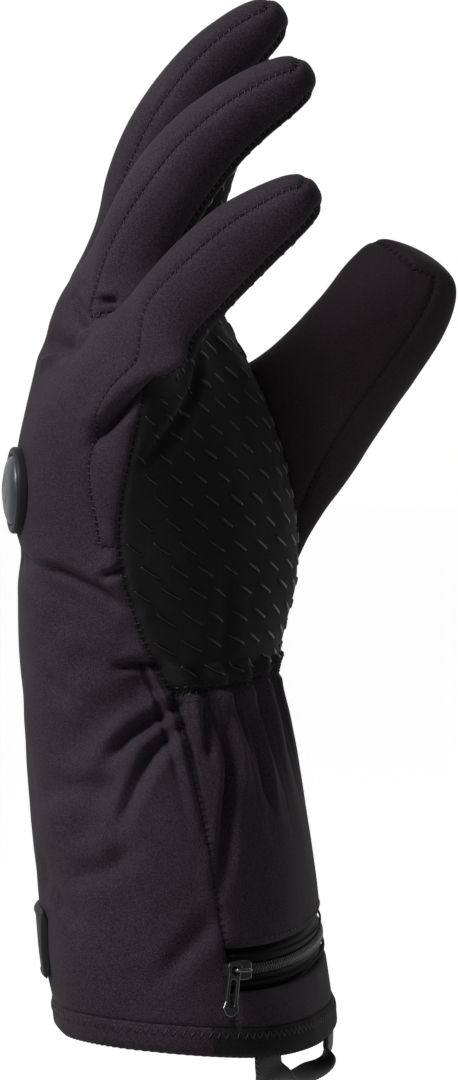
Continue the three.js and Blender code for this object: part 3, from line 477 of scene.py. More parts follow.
class Cage:
    """The coarse cage: points, the quads' corners and panels, and each corner's place on the flat cloth."""

    def __init__(self):
        self.points = []
        self.columns = []
        self.faces = []
        self.panels = []
        self.cloth = []

    def add(self, point, column=math.nan):
        self.points.append(np.asarray(point, float))
        self.columns.append(column)
        return len(self.points) - 1

    def quad(self, panel, corners, cloth):
        self.faces.append(corners)
        self.panels.append(PANELS.index(panel))
        self.cloth.append(cloth)

    def middle(self, ids):
        return np.mean([self.points[i] for i in ids], axis=0)

    def bridge(self, low, high, panel_of, girth, heights):
        sides = len(low)
        step = girth / sides
        for k in range(sides):
            after = (k + 1) % sides
            self.quad(panel_of(k), [low[k], high[k], high[after], low[after]], flat_quad(k, step, *heights))


def digit_frame(start, length, lean, splay, share):
    def direction(s):
        tilt, side = math.radians(between(*lean, s)), math.radians(between(*splay, s))
        return np.array([math.sin(tilt), math.cos(tilt) * math.sin(side), math.cos(tilt) * math.cos(side)])

    point, steps = np.array(start, float), 24
    for i in range(steps):
        point = point + direction(share * (i + 0.5) / steps) * length * share / steps
    forward = direction(share)
    side = np.array([0, 1, 0]) - forward * forward[1]
    side /= np.linalg.norm(side)
    return point, forward, side, np.cross(side, forward)


def add_hand(cage):
    rows = [[cage.add(ring_point(zone, at, row, u), u) for u in range(COLUMNS)] for _, zone, at, row in RINGS]
    step = math.pi * (WRIST_WIDTH + WRIST_DEPTH) / 2 / COLUMNS
    heights = [ring_height(zone, at) for _, zone, at, _ in RINGS]
    for v in range(len(rows) - 1):
        for u in range(COLUMNS):
            after = (u + 1) % COLUMNS
            corners = [rows[v][u], rows[v + 1][u], rows[v + 1][after], rows[v][after]]
            if hand_panel(u, v):
                cage.quad(hand_panel(u, v), corners, flat_quad(u, step, heights[v], heights[v + 1]))
    return rows


def add_finger(cage, finger, base):
    name, length, width, depth, lean, splay, roll = finger
    start = cage.middle(base)
    length *= FINGER_LENGTH
    growth = cage_growth(FINGER_SIDES) / 2
    side_panel = name + "_side_panel"

    def panel_of(k):
        return "back_panel" if k in (1, 2) else "palm_panel" if k in (5, 6) else side_panel

    girth = math.pi * (FINGER_WIDTH + FINGER_DEPTH) / 2
    low, height = base, 0
    for at, ring_width, ring_depth in FINGER_RINGS:
        point, _, side, palmward = digit_frame(start, length, lean, (splay, splay), at)
        high = []
        for k in range(FINGER_SIDES):
            angle = 2 * math.pi * k / FINGER_SIDES - math.radians(roll) * min(1, at / FINGER_RINGS[1][0])
            across = -math.cos(angle) * ring_width * growth * FINGER_WIDTH * width
            down = -math.sin(angle) * ring_depth * growth * FINGER_DEPTH * depth
            high.append(cage.add(point + side * across + palmward * down))
        cage.bridge(low, high, panel_of, girth, (height, at * length))
        low, height = high, at * length
    forward = digit_frame(start, length, lean, (splay, splay), 1)[1]
    crown = cage.add(cage.middle(low) + forward * TIP_CROWN * length)
    step = girth / FINGER_SIDES
    for k in (0, 2, 4, 6):
        left, middle, right = (step * (k + i) for i in range(3))
        cloth = [(left, height), (middle, height + 5), (right, height), (middle, height)]
        cage.quad(side_panel, [low[k], crown, low[(k + 2) % FINGER_SIDES], low[k + 1]], cloth)


def add_fingers(cage, top):
    crotch = [top[0]]
    for i in range(1, len(FINGERS)):
        crotch.append(cage.add(cage.middle([top[LITTLE_BACK + 2 * i], top[LITTLE_PALM - 2 * i]])))
    crotch.append(top[COLUMNS // 2])
    for i, finger in enumerate(FINGERS):
        b, p = LITTLE_BACK + 2 * i, LITTLE_PALM - 2 * i
        base = [crotch[i], top[b], top[b + 1], top[b + 2], crotch[i + 1], top[p - 2], top[p - 1], top[p]]
        add_finger(cage, finger, base)


def thumb_angle(k):
    half = THUMB_SIDES // 2
    steps = k if k <= half else THUMB_SIDES - k
    inside = THUMB_STRIP_ANGLE * min(steps, THUMB_STRIP) / THUMB_STRIP
    beyond = (180 - THUMB_STRIP_ANGLE) * max(0, steps - THUMB_STRIP) / (half - THUMB_STRIP)
    return math.radians((inside + beyond) * (1 if k <= half else -1))


def add_thumb(cage, rows):
    low, high = RING_NAMES.index("thumb_low"), RING_NAMES.index("thumb_high")
    first, last = THUMB_COLUMNS
    opening = [rows[low][first + 1], *(rows[v][last] for v in range(low, high + 1)), rows[high][first + 1]]
    opening += [rows[v][first] for v in range(high, low - 1, -1)]
    start = cage.middle(opening)
    growth = cage_growth(THUMB_SIDES) / 2
    girth = math.pi * (THUMB_WIDTH + THUMB_DEPTH) / 2
    loop, height = opening, 0

    def panel_of(k):
        return "thumb_inner_panel" if THUMB_STRIP <= k < THUMB_SIDES - THUMB_STRIP else "thumb_outer_panel"

    for at, width, depth in THUMB_RINGS:
        point, _, side, palmward = digit_frame(start, THUMB_LENGTH, THUMB_LEAN, THUMB_SPLAY, at)
        after = []
        for k in range(THUMB_SIDES):
            down = math.cos(thumb_angle(k)) * width * growth * THUMB_WIDTH
            across = -math.sin(thumb_angle(k)) * depth * growth * THUMB_DEPTH
            after.append(cage.add(point + palmward * down + side * across))
        cage.bridge(loop, after, panel_of, girth, (height, at * THUMB_LENGTH))
        loop, height = after, at * THUMB_LENGTH
    close_thumb(cage, loop, height)


def close_thumb(cage, loop, height):
    forward = digit_frame((0, 0, 0), THUMB_LENGTH, THUMB_LEAN, THUMB_SPLAY, 1)[1]
    centre = cage.middle(loop)
    lift = forward * TIP_CROWN * THUMB_LENGTH
    crown = [cage.add(between(cage.points[loop[k]], centre, 0.5) + lift) for k in (0, 3, 6, 9)]

    def end_quad(*ids):
        # The end's place on the cloth is its plan, seen along the thumb.
        side = np.cross(forward, [0, 0, 1])
        side /= np.linalg.norm(side)
        offsets = [cage.points[i] - centre for i in ids]
        cloth = [(float(o @ side), height + float(o @ np.cross(side, forward))) for o in offsets]
        cage.quad("thumb_outer_panel", list(ids), cloth)

    for j, here in enumerate(crown):
        end_quad(here, loop[3 * j + 1], loop[3 * j], loop[3 * j - 1])
        end_quad(here, crown[(j + 1) % 4], loop[(3 * j + 2) % THUMB_SIDES], loop[3 * j + 1])
    end_quad(*reversed(crown))


def gathered(count, ids, values):
    """The sum of the values that fall on each of a number of points."""
    total = np.zeros((count, 3))
    np.add.at(total, ids, values)
    return total


class Surface:
    """A quad mesh on the way to its limit, with each level's edges kept so that levels can be joined."""

    def __init__(self, points, columns, faces, panels, cloth, keys=None, first=None):
        self.points, self.columns, self.faces = points, columns, faces
        self.panels, self.cloth = panels, cloth
        self.keys, self.first = keys, first

    def edge_table(self):
        count = len(self.points)
        a, b = self.faces, np.roll(self.faces, -1, axis=1)
        keys = (np.minimum(a, b) * count + np.maximum(a, b)).ravel()
        unique, edge_of = np.unique(keys, return_inverse=True)
        ends = np.stack([unique // count, unique % count], 1)
        uses = np.bincount(edge_of, minlength=len(unique))
        return unique, ends, edge_of.reshape(self.faces.shape), uses

    def subdivide(self):
        points, faces = self.points, self.faces
        count = len(points)
        keys, ends, edge_of, uses = self.edge_table()
        centres = points[faces].mean(1)
        middles = points[ends].mean(1)
        centre_sum = gathered(len(ends), edge_of.ravel(), np.repeat(centres, 4, axis=0))
        shut = (uses == 2)[:, None]
        edge_points = np.where(shut, (2 * middles + centre_sum) / 4, middles)
        fan = gathered(count, faces.ravel(), np.repeat(centres, 4, axis=0))
        fan_count = np.maximum(1, np.bincount(faces.ravel(), minlength=count))[:, None]
        spoke = gathered(count, ends.ravel(), np.repeat(middles, 2, axis=0))
        spoke_count = np.maximum(1, np.bincount(ends.ravel(), minlength=count))[:, None]
        inner = (fan / fan_count + 2 * spoke / spoke_count + (spoke_count - 3) * points) / spoke_count
        rim = ends[uses == 1]
        rim_sum = gathered(count, rim.ravel(), np.repeat(points[rim].mean(1), 2, axis=0))
        rim_count = np.bincount(rim.ravel(), minlength=count)[:, None]
        on_rim = rim_count > 0
        outer = (points + rim_sum / np.maximum(rim_count, 1)) / 2
        moved = np.where(on_rim, outer, inner)
        new_points = np.concatenate([moved, edge_points, centres])
        columns = np.concatenate([self.columns, self.columns[ends].mean(1), self.columns[faces].mean(1)])
        edge_ids = edge_of + count
        centre_ids = np.arange(len(faces)) + count + len(ends)
        cloth = self.cloth
        cloth_edge = (cloth + np.roll(cloth, -1, axis=1)) / 2
        cloth_middle = cloth.mean(1)
        new_faces, new_cloth = [], []
        for i in range(4):
            new_faces.append(np.stack([faces[:, i], edge_ids[:, i], centre_ids, edge_ids[:, i - 1]], 1))
            new_cloth.append(np.stack([cloth[:, i], cloth_edge[:, i], cloth_middle, cloth_edge[:, i - 1]], 1))
        new_faces = np.stack(new_faces, 1).reshape(-1, 4)
        new_cloth = np.stack(new_cloth, 1).reshape(-1, 4, 2)
        return Surface(new_points, columns, new_faces, np.repeat(self.panels, 4), new_cloth, keys, count)

    def middle_ids(self, a, b):
        """Points of this level in the middle of edges of the level below."""
        return self.first + np.searchsorted(self.keys, np.minimum(a, b) * self.first + np.maximum(a, b))

    def settle(self):
        points, faces = self.points, self.faces
        count = len(points)
        _, ends, _, uses = self.edge_table()
        valence = np.maximum(1, np.bincount(ends.ravel(), minlength=count))[:, None]
        near = gathered(count, ends.ravel(), points[ends[:, ::-1]].reshape(-1, 3))
        far = gathered(count, faces.ravel(), points[np.roll(faces, 2, axis=1)].reshape(-1, 3))
        inner = (valence**2 * points + 4 * near + far) / (valence * (valence + 5))
        rim = ends[uses == 1]
        rim_near = gathered(count, rim.ravel(), points[rim[:, ::-1]].reshape(-1, 3))
        on_rim = (np.bincount(rim.ravel(), minlength=count) > 0)[:, None]
        return np.where(on_rim, (4 * points + rim_near) / 6, inner)


def unit(vectors):
    return vectors / np.maximum(np.linalg.norm(vectors, axis=-1, keepdims=True), 1e-12)


def vertex_normals(points, faces):
    a, b, c, d = (points[faces[:, i]] for i in range(4))
    return unit(gathered(len(points), faces.ravel(), np.repeat(np.cross(c - a, d - b), 4, axis=0)))


def soft_noise(points, size, seed):
    """Smooth noise between -1 and 1 that varies over the given size."""
    scaled = points / size
    cell = np.floor(scaled).astype(np.int64)
    t = scaled - cell
    t = t * t * (3 - 2 * t)
    total = np.zeros(len(points))
    for corner in range(8):
        offset = np.array([corner & 1, corner >> 1 & 1, corner >> 2 & 1])
        c = cell + offset
        h = (c[:, 0] * 73856093) ^ (c[:, 1] * 19349663) ^ (c[:, 2] * 83492791) ^ (seed * 40503)
        h = (h ^ (h >> 13)) * 1274126177 & 0x7FFFFFFF
        value = ((h ^ (h >> 15)) & 0xFFFF) / 32768 - 1
        weight = np.prod(np.where(offset == 1, t, 1 - t), axis=1)
        total += weight * value
    return total


# The shell's surface, from the coarse cage to its fine level.
cage = Cage()
rows = add_hand(cage)
add_fingers(cage, rows[-1])
add_thumb(cage, rows)
flat_cloth = np.array(cage.cloth, float)
levels = [Surface(*map(np.array, (cage.points, cage.columns, cage.faces, cage.panels)), flat_cloth)]
for _ in range(4):
    levels.append(levels[-1].subdivide())
FINE = levels[4]
LINING = levels[2]
limit = FINE.settle()
limit_normals = vertex_normals(limit, FINE.faces)


def place_of(points):
    """Turn round the cuff in degrees, as in FOLDS, and the height."""
    set_back = HAND_SET_BACK * np.minimum(1, points[:, 2] / CUFF_LENGTH)
    return np.degrees(np.arctan2(-(points[:, 0] + set_back), -points[:, 1])), points[:, 2]


def line_distance(turn, height, start, end):
    """Distance to a straight line in turn and height, and the share of its length."""
    here = np.stack([np.radians(turn) * RADIUS, height], 1)
    a = np.array([math.radians(start[0]) * RADIUS, start[1] * SHELL_LENGTH])
    b = np.array([math.radians(end[0]) * RADIUS, end[1] * SHELL_LENGTH])
    run = b - a
    share = np.clip((here - a) @ run / (run @ run), 0, 1)
    offset = here - (a + share[:, None] * run)
    return np.linalg.norm(offset, axis=1), share


def fold_depth(points):
    turn, height = place_of(points)
    depth = np.zeros(len(points))
    for turns, heights, wide, deep in FOLDS:
        away, _ = line_distance(turn, height, (turns[0], heights[0]), (turns[1], heights[1]))
        depth += FOLD_DEPTH * deep * beside(away, FOLD_WIDTH * wide)
    return depth * (points[:, 2] < SHELL_LENGTH)


def gather_depth(points, columns):
    drop = (CUFF_LENGTH - points[:, 2]) / (CUFF_LENGTH * GATHER_REACH)
    here = (columns > INDEX_PALM) & (columns < LITTLE_PALM) & (drop > -0.2)
    wave = GATHER_DEPTH * np.cos(2 * math.pi * np.nan_to_num(columns)) * np.exp(-2 * drop * drop)
    return np.where(here, wave, 0)


def seam_edges():
    """The fine edges between two panels, as pairs of points, their two panels, and the edges of the mouth."""
    _, ends, edge_of, uses = FINE.edge_table()
    low = np.full(len(ends), 99)
    high = np.full(len(ends), -1)
    owner = np.repeat(FINE.panels, 4)
    np.minimum.at(low, edge_of.ravel(), owner)
    np.maximum.at(high, edge_of.ravel(), owner)
    return ends[low != high], low[low != high], high[low != high], ends[uses == 1]


seams, seam_low, seam_high, mouth = seam_edges()
coarse_depth = fold_depth(limit) + gather_depth(limit, FINE.columns)
plain_shell = limit - limit_normals * coarse_depth[:, None]


def nearest(points, targets):
    """Distances to the nearest of some targets, and which these are."""
    tree = KDTree(len(targets))
    for i, p in enumerate(targets):
        tree.insert(p, i)
    tree.balance()
    found = [tree.find(p) for p in points]
    return np.array([f[2] for f in found]), np.array([f[1] for f in found])


def dense(ends):
    """Three places along each edge."""
    a, b = limit[ends[:, 0]], limit[ends[:, 1]]
    return np.concatenate([a + (b - a) * k / 3 for k in range(3)])


def line_place(points, line):
    """Distance to a polyline, its nearest spot, its direction there and the share of its length."""
    line = np.array(line, float)
    run = line[1:] - line[:-1]
    lengths = np.linalg.norm(run, axis=1)
    best = np.full(len(points), np.inf)
    spot = np.zeros_like(points)
    way = np.zeros_like(points)
    share = np.zeros(len(points))
    done = 0
    for start, step, length in zip(line, run, lengths):
        t = np.clip((points - start) @ step / length**2, 0, 1)
        here = start + t[:, None] * step
        away = np.linalg.norm(points - here, axis=1)
        closer = away < best
        best[closer] = away[closer]
        spot[closer] = here[closer]
        way[closer] = step / length
        share[closer] = (done + t[closer] * length) / lengths.sum()
        done += length
    return best, spot, way, share


def crease_depth():
    depth = np.zeros(len(limit))
    for line, half_width, deep, lip in CREASES:
        width = half_width * CREASE_NARROW
        near = np.flatnonzero(np.linalg.norm(limit - np.mean(line, axis=0), axis=1) < CREASE_REACH)
        away, spot, way, share = line_place(limit[near], line)
        taper = smoothstep(share, -0.15, 0.25) * smoothstep(1 - share, -0.15, 0.25)
        valley = CREASE_GAIN * beside(away, width)
        ridge = RIDGE_GAIN * beside(away - RIDGE_PLACE * width, width)
        across = np.cross(limit_normals[near], way)
        upper = np.where(across[:, 2] > 0, 1, -1)[:, None] * across
        side = ((limit[near] - spot) * upper).sum(1)
        step = LIP_GAIN * lip * smoothstep(side, -0.3 * width, 0.4 * width) * beside(away, LIP_REACH * width)
        depth[near] += taper * (deep * (valley - ridge) - step)
    return depth


HEM_ID, TAPE_ID = PANELS.index("hem_band"), PANELS.index("zip_tape")
at_zip = (seam_low == TAPE_ID) | (seam_high == TAPE_ID)
at_hem = seam_low == HEM_ID
sewn = ~at_zip & ~at_hem
seam_spots = dense(seams[sewn])
seam_away, seam_index = nearest(limit, seam_spots)
seam_spot = seam_spots[seam_index]
zip_away, _ = nearest(limit, dense(seams[at_zip]))
hem_away, _ = nearest(limit, dense(seams[at_hem]))
mouth_away, _ = nearest(limit, dense(mouth))
near_mouth = np.clip(1 - mouth_away / MOUTH_ROUND, 0, 1)
mouth_curl = MOUTH_ROUND * (1 - np.sqrt(1 - near_mouth**2 * 0.98))


def gather_detail():
    """Sharp valleys between the gathers, and the puckered line of the elastic above them."""
    drop = (CUFF_LENGTH - limit[:, 2]) / (CUFF_LENGTH * GATHER_REACH)
    columns = np.nan_to_num(FINE.columns)
    here = (columns > INDEX_PALM) & (columns < LITTLE_PALM) & (drop > -0.3)
    wave = np.maximum(0, np.cos(2 * math.pi * columns)) ** 3
    wave += LESSER_VALLEY * np.maximum(0, -np.cos(4 * math.pi * columns)) ** 2
    below = smoothstep(drop, -0.02, 0.1) * np.exp(-VALLEY_FADE * drop * drop)
    line = ELASTIC_DEPTH * beside(drop - ELASTIC_PLACE, ELASTIC_WIDTH)
    line *= 1 + 0.5 * soft_noise(limit, ELASTIC_LUMP, 9)
    return np.where(here, VALLEY_DEPTH * wave * below + line, 0)


def outer_shape():
    """The outside of the shell: folds, gathers, sewn grooves, puckers and slack."""
    detail = creases + gather_detail()
    detail += GROOVE_DEPTH * beside(seam_away, GROOVE_WIDTH)
    detail -= PUFF_HEIGHT * beside(seam_away - PUFF_PLACE, PUFF_WIDTH)
    pucker = soft_noise(seam_spot, PUCKER_SIZES[0], 5) * 0.8 + soft_noise(seam_spot, PUCKER_SIZES[1], 6) * 0.4
    detail += PUCKER_DEPTH * pucker * np.exp(-seam_away / PUCKER_REACH) * (1 - beside(seam_away, 0.8))
    detail += SLACK_DEPTH * soft_noise(limit, SLACK_SIZE, 7)
    detail += RIPPLE_DEPTH * soft_noise(limit, RIPPLE_SIZE, 8)
    detail += EDGE_GROOVE_DEPTH * (beside(zip_away, ZIP_GROOVE_WIDTH) + beside(hem_away, HEM_GROOVE_WIDTH))
    seat = np.linalg.norm(limit[:, 1:] - [-BUTTON_OFFSET, BUTTON_HEIGHT], axis=1)
    on_seat = (seat < BUTTON_DIAMETER) & (limit[:, 0] < -HAND_SET_BACK)
    detail *= np.where(on_seat, smoothstep(seat, BUTTON_DIAMETER * 0.5, BUTTON_DIAMETER * 0.72), 1)
    depth = coarse_depth + detail + mouth_curl
    return limit - limit_normals * depth[:, None]


creases = crease_depth()
shell = outer_shape()
shell_normals = vertex_normals(shell, FINE.faces)
lining_depth = coarse_depth + WALL + LINING_SHARE * np.maximum(0, creases) - 0.8 * mouth_curl
lining = limit - limit_normals * lining_depth[:, None]


def pulled_in(faces, points, normals, gap):
    """How far the boundary points of some faces step inwards, and the boundary's directed edges."""
    a, b = faces, np.roll(faces, -1, axis=1)
    count = len(points)
    forward = (a * count + b).ravel()
    backward = (b * count + a).ravel()
    alone = ~np.isin(forward, backward)
    rim = np.stack([a.ravel()[alone], b.ravel()[alone]], 1)
    run = points[rim[:, 1]] - points[rim[:, 0]]
    step = np.zeros_like(points)
    uses = np.zeros(count)
    for end in (0, 1):
        np.add.at(step, rim[:, end], unit(np.cross(normals[rim[:, end]], run)))
        np.add.at(uses, rim[:, end], 1)
    spread = np.maximum(0.6, (step**2).sum(1) / np.maximum(uses, 1))
    return step * (gap / 2 / spread)[:, None], rim


# Making objects.
def mesh_object(name, points, faces, material, replaces=(), smooth=True, uv=None):
    mesh = bpy.data.meshes.new(name)
    mesh.from_pydata(np.asarray(points, float) * MM, [], faces)
    mesh.validate()
    mesh.polygons.foreach_set("use_smooth", np.full(len(mesh.polygons), smooth))
    if uv is not None:
        layer = mesh.uv_layers.new(name="cloth")
        layer.data.foreach_set("uv", np.asarray(uv, np.float32).ravel())
    mesh.materials.append(material)
    obj = linked(name, mesh)
    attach(obj, "root")
    if replaces:
        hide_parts(*replaces)
    return obj


def panel_piece(name, material, slot, lift=0, gap=SEAM_GAP):
    panel = PANELS.index(name)
    fine_faces = FINE.faces[FINE.panels == panel]
    lining_faces = LINING.faces[LINING.panels == panel]
    step, _ = pulled_in(fine_faces, shell, shell_normals, gap)
    _, rim = pulled_in(lining_faces, lining, limit_normals, gap)
    top = shell + step + shell_normals * lift
    fine_ids = np.unique(fine_faces)
    lining_ids = np.unique(lining_faces)
    of_fine = np.full(len(top), -1)
    of_fine[fine_ids] = np.arange(len(fine_ids))
    of_lining = np.full(len(top), -1)
    of_lining[lining_ids] = np.arange(len(lining_ids)) + len(fine_ids)
    points = np.concatenate([top[fine_ids], (lining + step)[lining_ids]])
    faces = of_fine[fine_faces].tolist() + of_lining[lining_faces[:, ::-1]].tolist()
    a, b = rim[:, 0], rim[:, 1]
    m = levels[3].middle_ids(a, b)
    early, late = FINE.middle_ids(a, m), FINE.middle_ids(m, b)
    chain = [of_fine[i] for i in (b, late, m, early, a)] + [of_lining[a], of_lining[b]]
    band = np.stack(chain, 1).tolist()
    cloth = [FINE.cloth[FINE.panels == panel], LINING.cloth[LINING.panels == panel][:, ::-1]]
    cloth = np.concatenate([c.reshape(-1, 2) for c in cloth] + [np.zeros((7 * len(band), 2))])
    return mesh_object(name, points, faces + band, material, [name], uv=cloth)


# Materials.
def new_material(name):
    material = bpy.data.materials.new(name)
    material.use_nodes = True
    nodes, links = material.node_tree.nodes, material.node_tree.links
    return material, nodes, links, nodes["Principled BSDF"]


def set_inputs(node, **values):
    """Sets a node's inputs by name, with _ for each space."""
    for name, value in values.items():
        node.inputs[name.replace("_", " ")].default_value = value


def math_node(nodes, links, operation, a, b=None):
    node = nodes.new("ShaderNodeMath")
    node.operation = operation
    for i, value in enumerate((a, b)):
        if isinstance(value, (int, float)):
            node.inputs[i].default_value = value
        elif value is not None:
            links.new(value, node.inputs[i])
    return node.outputs[0]


def cloth_place(nodes, links):
    """The place on the flat cloth, as two values in millimetres."""
    where, split = nodes.new("ShaderNodeUVMap"), nodes.new("ShaderNodeSeparateXYZ")
    where.uv_map = "cloth"
    links.new(where.outputs[0], split.inputs[0])
    return split.outputs[0], split.outputs[1]


def set_ramp(node, *stops):
    for element, (position, colour) in zip(node.color_ramp.elements, stops):
        element.position = position
        element.color = (*colour, 1)


def add_relief(nodes, links, shader, height, strength, distance):
    bump = nodes.new("ShaderNodeBump")
    set_inputs(bump, Strength=strength, Distance=distance)
    links.new(height, bump.inputs["Height"])
    links.new(bump.outputs[0], shader.inputs["Normal"])


def softshell(name, dark, light, sheen=0.02):
    """Finely woven stretch cloth: a plain weave in relief over a flecked yarn colour."""
    material, nodes, links, shader = new_material(name)
    place = nodes.new("ShaderNodeTexCoord")

    def noise(scale, detail):
        node = nodes.new("ShaderNodeTexNoise")
        set_inputs(node, Scale=scale, Detail=detail)
        links.new(place.outputs["Object"], node.inputs["Vector"])
        return node.outputs["Fac"]

    def of(operation, a, b=None):
        return math_node(nodes, links, operation, a, b)

    turn = 2 * math.pi / WEAVE_PITCH
    weave = of("MULTIPLY", *(of("SINE", of("MULTIPLY", side, turn)) for side in cloth_place(nodes, links)))
    fleck = noise(FLECK_SCALE, 2)
    mix = of("ADD", of("MULTIPLY", fleck, 0.75), of("MULTIPLY", noise(CLOUD_SCALE, 3), 0.25))
    mix = of("ADD", mix, of("MULTIPLY", weave, 0.06))
    ramp = nodes.new("ShaderNodeValToRGB")
    set_ramp(ramp, (0.38, dark), (0.64, light))
    links.new(mix, ramp.inputs[0])
    links.new(ramp.outputs[0], shader.inputs["Base Color"])
    add_relief(nodes, links, shader, of("ADD", of("MULTIPLY", weave, 0.5), fleck), 0.45, 0.0001)
    set_inputs(shader, Roughness=0.85, Sheen_Weight=sheen, Sheen_Roughness=0.4, Specular_IOR_Level=0.14)
    return material


def plain(name, colour, roughness, specular=0.5, coat=0):
    material, _, _, shader = new_material(name)
    set_inputs(shader, Base_Color=(*colour, 1), Roughness=roughness, Specular_IOR_Level=specular)
    set_inputs(shader, Coat_Weight=coat, Coat_Roughness=0.12)
    return material


def webbing_cloth(name, colour):
    """Herringbone tape: slanted ribs that turn round at the middle of its width."""
    material, nodes, links, shader = new_material(name)
    across, onward = cloth_place(nodes, links)
    slant = math_node(nodes, links, "ADD", math_node(nodes, links, "ABSOLUTE", across), onward)
    angle = math_node(nodes, links, "MULTIPLY", slant, 2 * math.pi / RIB_PITCH)
    wave = math_node(nodes, links, "SINE", angle)
    add_relief(nodes, links, shader, wave, 0.7, 0.00015)
    set_inputs(shader, Base_Color=(*colour, 1), Roughness=0.6, Sheen_Weight=0.05)
    return material


CLOTH = softshell("softshell", (0.0088, 0.0065, 0.0087), (0.0335, 0.026, 0.0335))
PALM = softshell("palm_cloth", (0.0046, 0.0039, 0.0043), (0.011, 0.0094, 0.0107), sheen=0.015)
THUMB = softshell("thumb_cloth", (0.0137, 0.0101, 0.0124), (0.026, 0.02, 0.024), sheen=0.05)
BAND = softshell("hem_cloth", (0.004, 0.0035, 0.004), (0.012, 0.011, 0.0125), sheen=0.02)
THREAD = plain("thread", (0.006, 0.006, 0.007), 0.5, 0.35)
FILM = plain("zip_film", (0.003, 0.003, 0.0035), 0.6, 0.1)
PIPING = plain("zip_piping", (0.004, 0.004, 0.0045), 0.8, 0.08)
COIL = plain("zip_coil", (0.005, 0.005, 0.006), 0.34, 0.3)
METAL = plain("zip_metal", (0.01, 0.01, 0.011), 0.22, 0.6, 0.8)
RUBBER = plain("button_rubber", (0.009, 0.009, 0.011), 0.55, 0.2)
DOME = plain("button_dome", (0.027, 0.029, 0.04), 0.42, 0.45, 0.05)
MARK = plain("button_mark", (0.13, 0.135, 0.15), 0.5)
PATCH = plain("patch_rubber", (0.008, 0.008, 0.009), 0.6, 0.15)
SILICONE = plain("silicone", (0.003, 0.003, 0.0033), 0.34, 0.28)
WEBBING = webbing_cloth("webbing", (0.0095, 0.0085, 0.0095))

SOFT_PANELS = ["back_panel", "little_side_panel", "ring_side_panel", "middle_side_panel", "index_side_panel"]
CLOTHS = [(name, CLOTH, "softshell") for name in SOFT_PANELS]
CLOTHS += [("palm_panel", PALM, "palm_cloth")]
CLOTHS += [(name, THUMB, "palm_cloth") for name in ("thumb_inner_panel", "thumb_outer_panel")]
CLOTHS += [(name, CLOTH, "softshell") for name in ("cuff_front_panel", "cuff_pocket_panel")]
for entry in CLOTHS:
    panel_piece(*entry)
band = panel_piece("hem_band", CLOTH, "softshell", lift=BAND_PROUD, gap=-BAND_LAP)
band.data.materials.append(BAND)
palm_side = np.nan_to_num(FINE.columns[FINE.faces].mean(1))[FINE.panels == HEM_ID]
darker = (palm_side > INDEX_PALM) & (palm_side < LITTLE_PALM)
tones = np.zeros(len(band.data.polygons), np.int32)
tones[: len(darker)] = darker
band.data.polygons.foreach_set("material_index", tones)

cloth_tree = BVHTree.FromPolygons(shell.tolist(), FINE.faces.tolist())


def on_cloth(points, lift=0):
    """The nearest places on the shell, raised by lift, and the normals there."""
    found = [cloth_tree.find_nearest(p) for p in points]
    places = np.array([f[0] for f in found])
    normals = np.array([f[1] for f in found])
    return places + normals * lift, normals


def chains(pairs):
    """Edges joined end to end into runs of points."""
    links = {}
    for a, b in pairs.tolist():
        links.setdefault(a, []).append(b)
        links.setdefault(b, []).append(a)
    used = set()
    runs = []
    for start in [p for p in links if len(links[p]) != 2] + list(links):
        for first in links[start]:
            if (start, first) in used:
                continue
            run = [start, first]
            used |= {(start, first), (first, start)}
            while len(links[run[-1]]) == 2:
                onward = [p for p in links[run[-1]] if (run[-1], p) not in used]
                if not onward:
                    break
                used |= {(run[-1], onward[0]), (onward[0], run[-1])}
                run.append(onward[0])
            runs.append(np.array(run))
    return runs


def seam_runs(*names):
    """Runs of points along the seam between two panels."""
    low, high = sorted(PANELS.index(name) for name in names)
    return chains(seams[(seam_low == low) & (seam_high == high)])


def paced(points, normals, pitch, inset=0):
    """Even places along a run, with the normal and the direction at each."""
    steps = np.linalg.norm(np.diff(points, axis=0), axis=1)
    place = np.concatenate([[0], np.cumsum(steps)])
    count = max(2, int(round((place[-1] - 2 * inset) / pitch)))
    here = np.linspace(inset, place[-1] - inset, count + 1)
    spots = np.stack([np.interp(here, place, points[:, i]) for i in range(3)], 1)
    ups = unit(np.stack([np.interp(here, place, normals[:, i]) for i in range(3)], 1))
    ways = unit(np.gradient(spots, axis=0))
    return spots, ups, ways


def bars(paths, ups, widths, heights):
    """Closed bars along n paths of k points each, with a half width and half height for each of the k."""
    ways = unit(np.gradient(paths, axis=1))
    side = unit(np.cross(ways, ups))
    up = np.cross(side, ways)
    angle = 2 * math.pi * np.arange(BAR_SIDES) / BAR_SIDES
    wide = np.cos(angle)[None, :] * np.asarray(widths, float)[:, None]
    high = np.sin(angle)[None, :] * np.asarray(heights, float)[:, None]
    ring = paths[:, :, None] + side[:, :, None] * wide[None, :, :, None]
    ring = ring + up[:, :, None] * high[None, :, :, None]
    n, k = paths.shape[:2]
    ids = np.arange(n * k * BAR_SIDES).reshape(n, k, BAR_SIDES)
    after = np.roll(ids, -1, axis=2)
    quads = np.stack([ids[:, :-1], ids[:, 1:], after[:, 1:], after[:, :-1]], -1).reshape(-1, 4)
    caps = np.concatenate([ids[:, 0], ids[:, -1, ::-1]])
    return ring.reshape(-1, 3), quads.tolist() + caps.tolist()


class Heap:
    """Small bodies gathered into one mesh."""

    def __init__(self):
        self.points, self.faces = [], []

    def add(self, points, faces):
        first = len(self.points)
        self.points.extend(np.asarray(points).tolist())
        self.faces.extend([[i + first for i in face] for face in faces])


def straight(starts, ends, parts=5):
    share = np.linspace(0, 1, parts)[None, :, None]
    return starts[:, None] + (ends - starts)[:, None] * share


def thread(heap, paths, ups):
    heap.add(*bars(paths, ups[:, None], STITCH_SIZES, STITCH_SIZES))


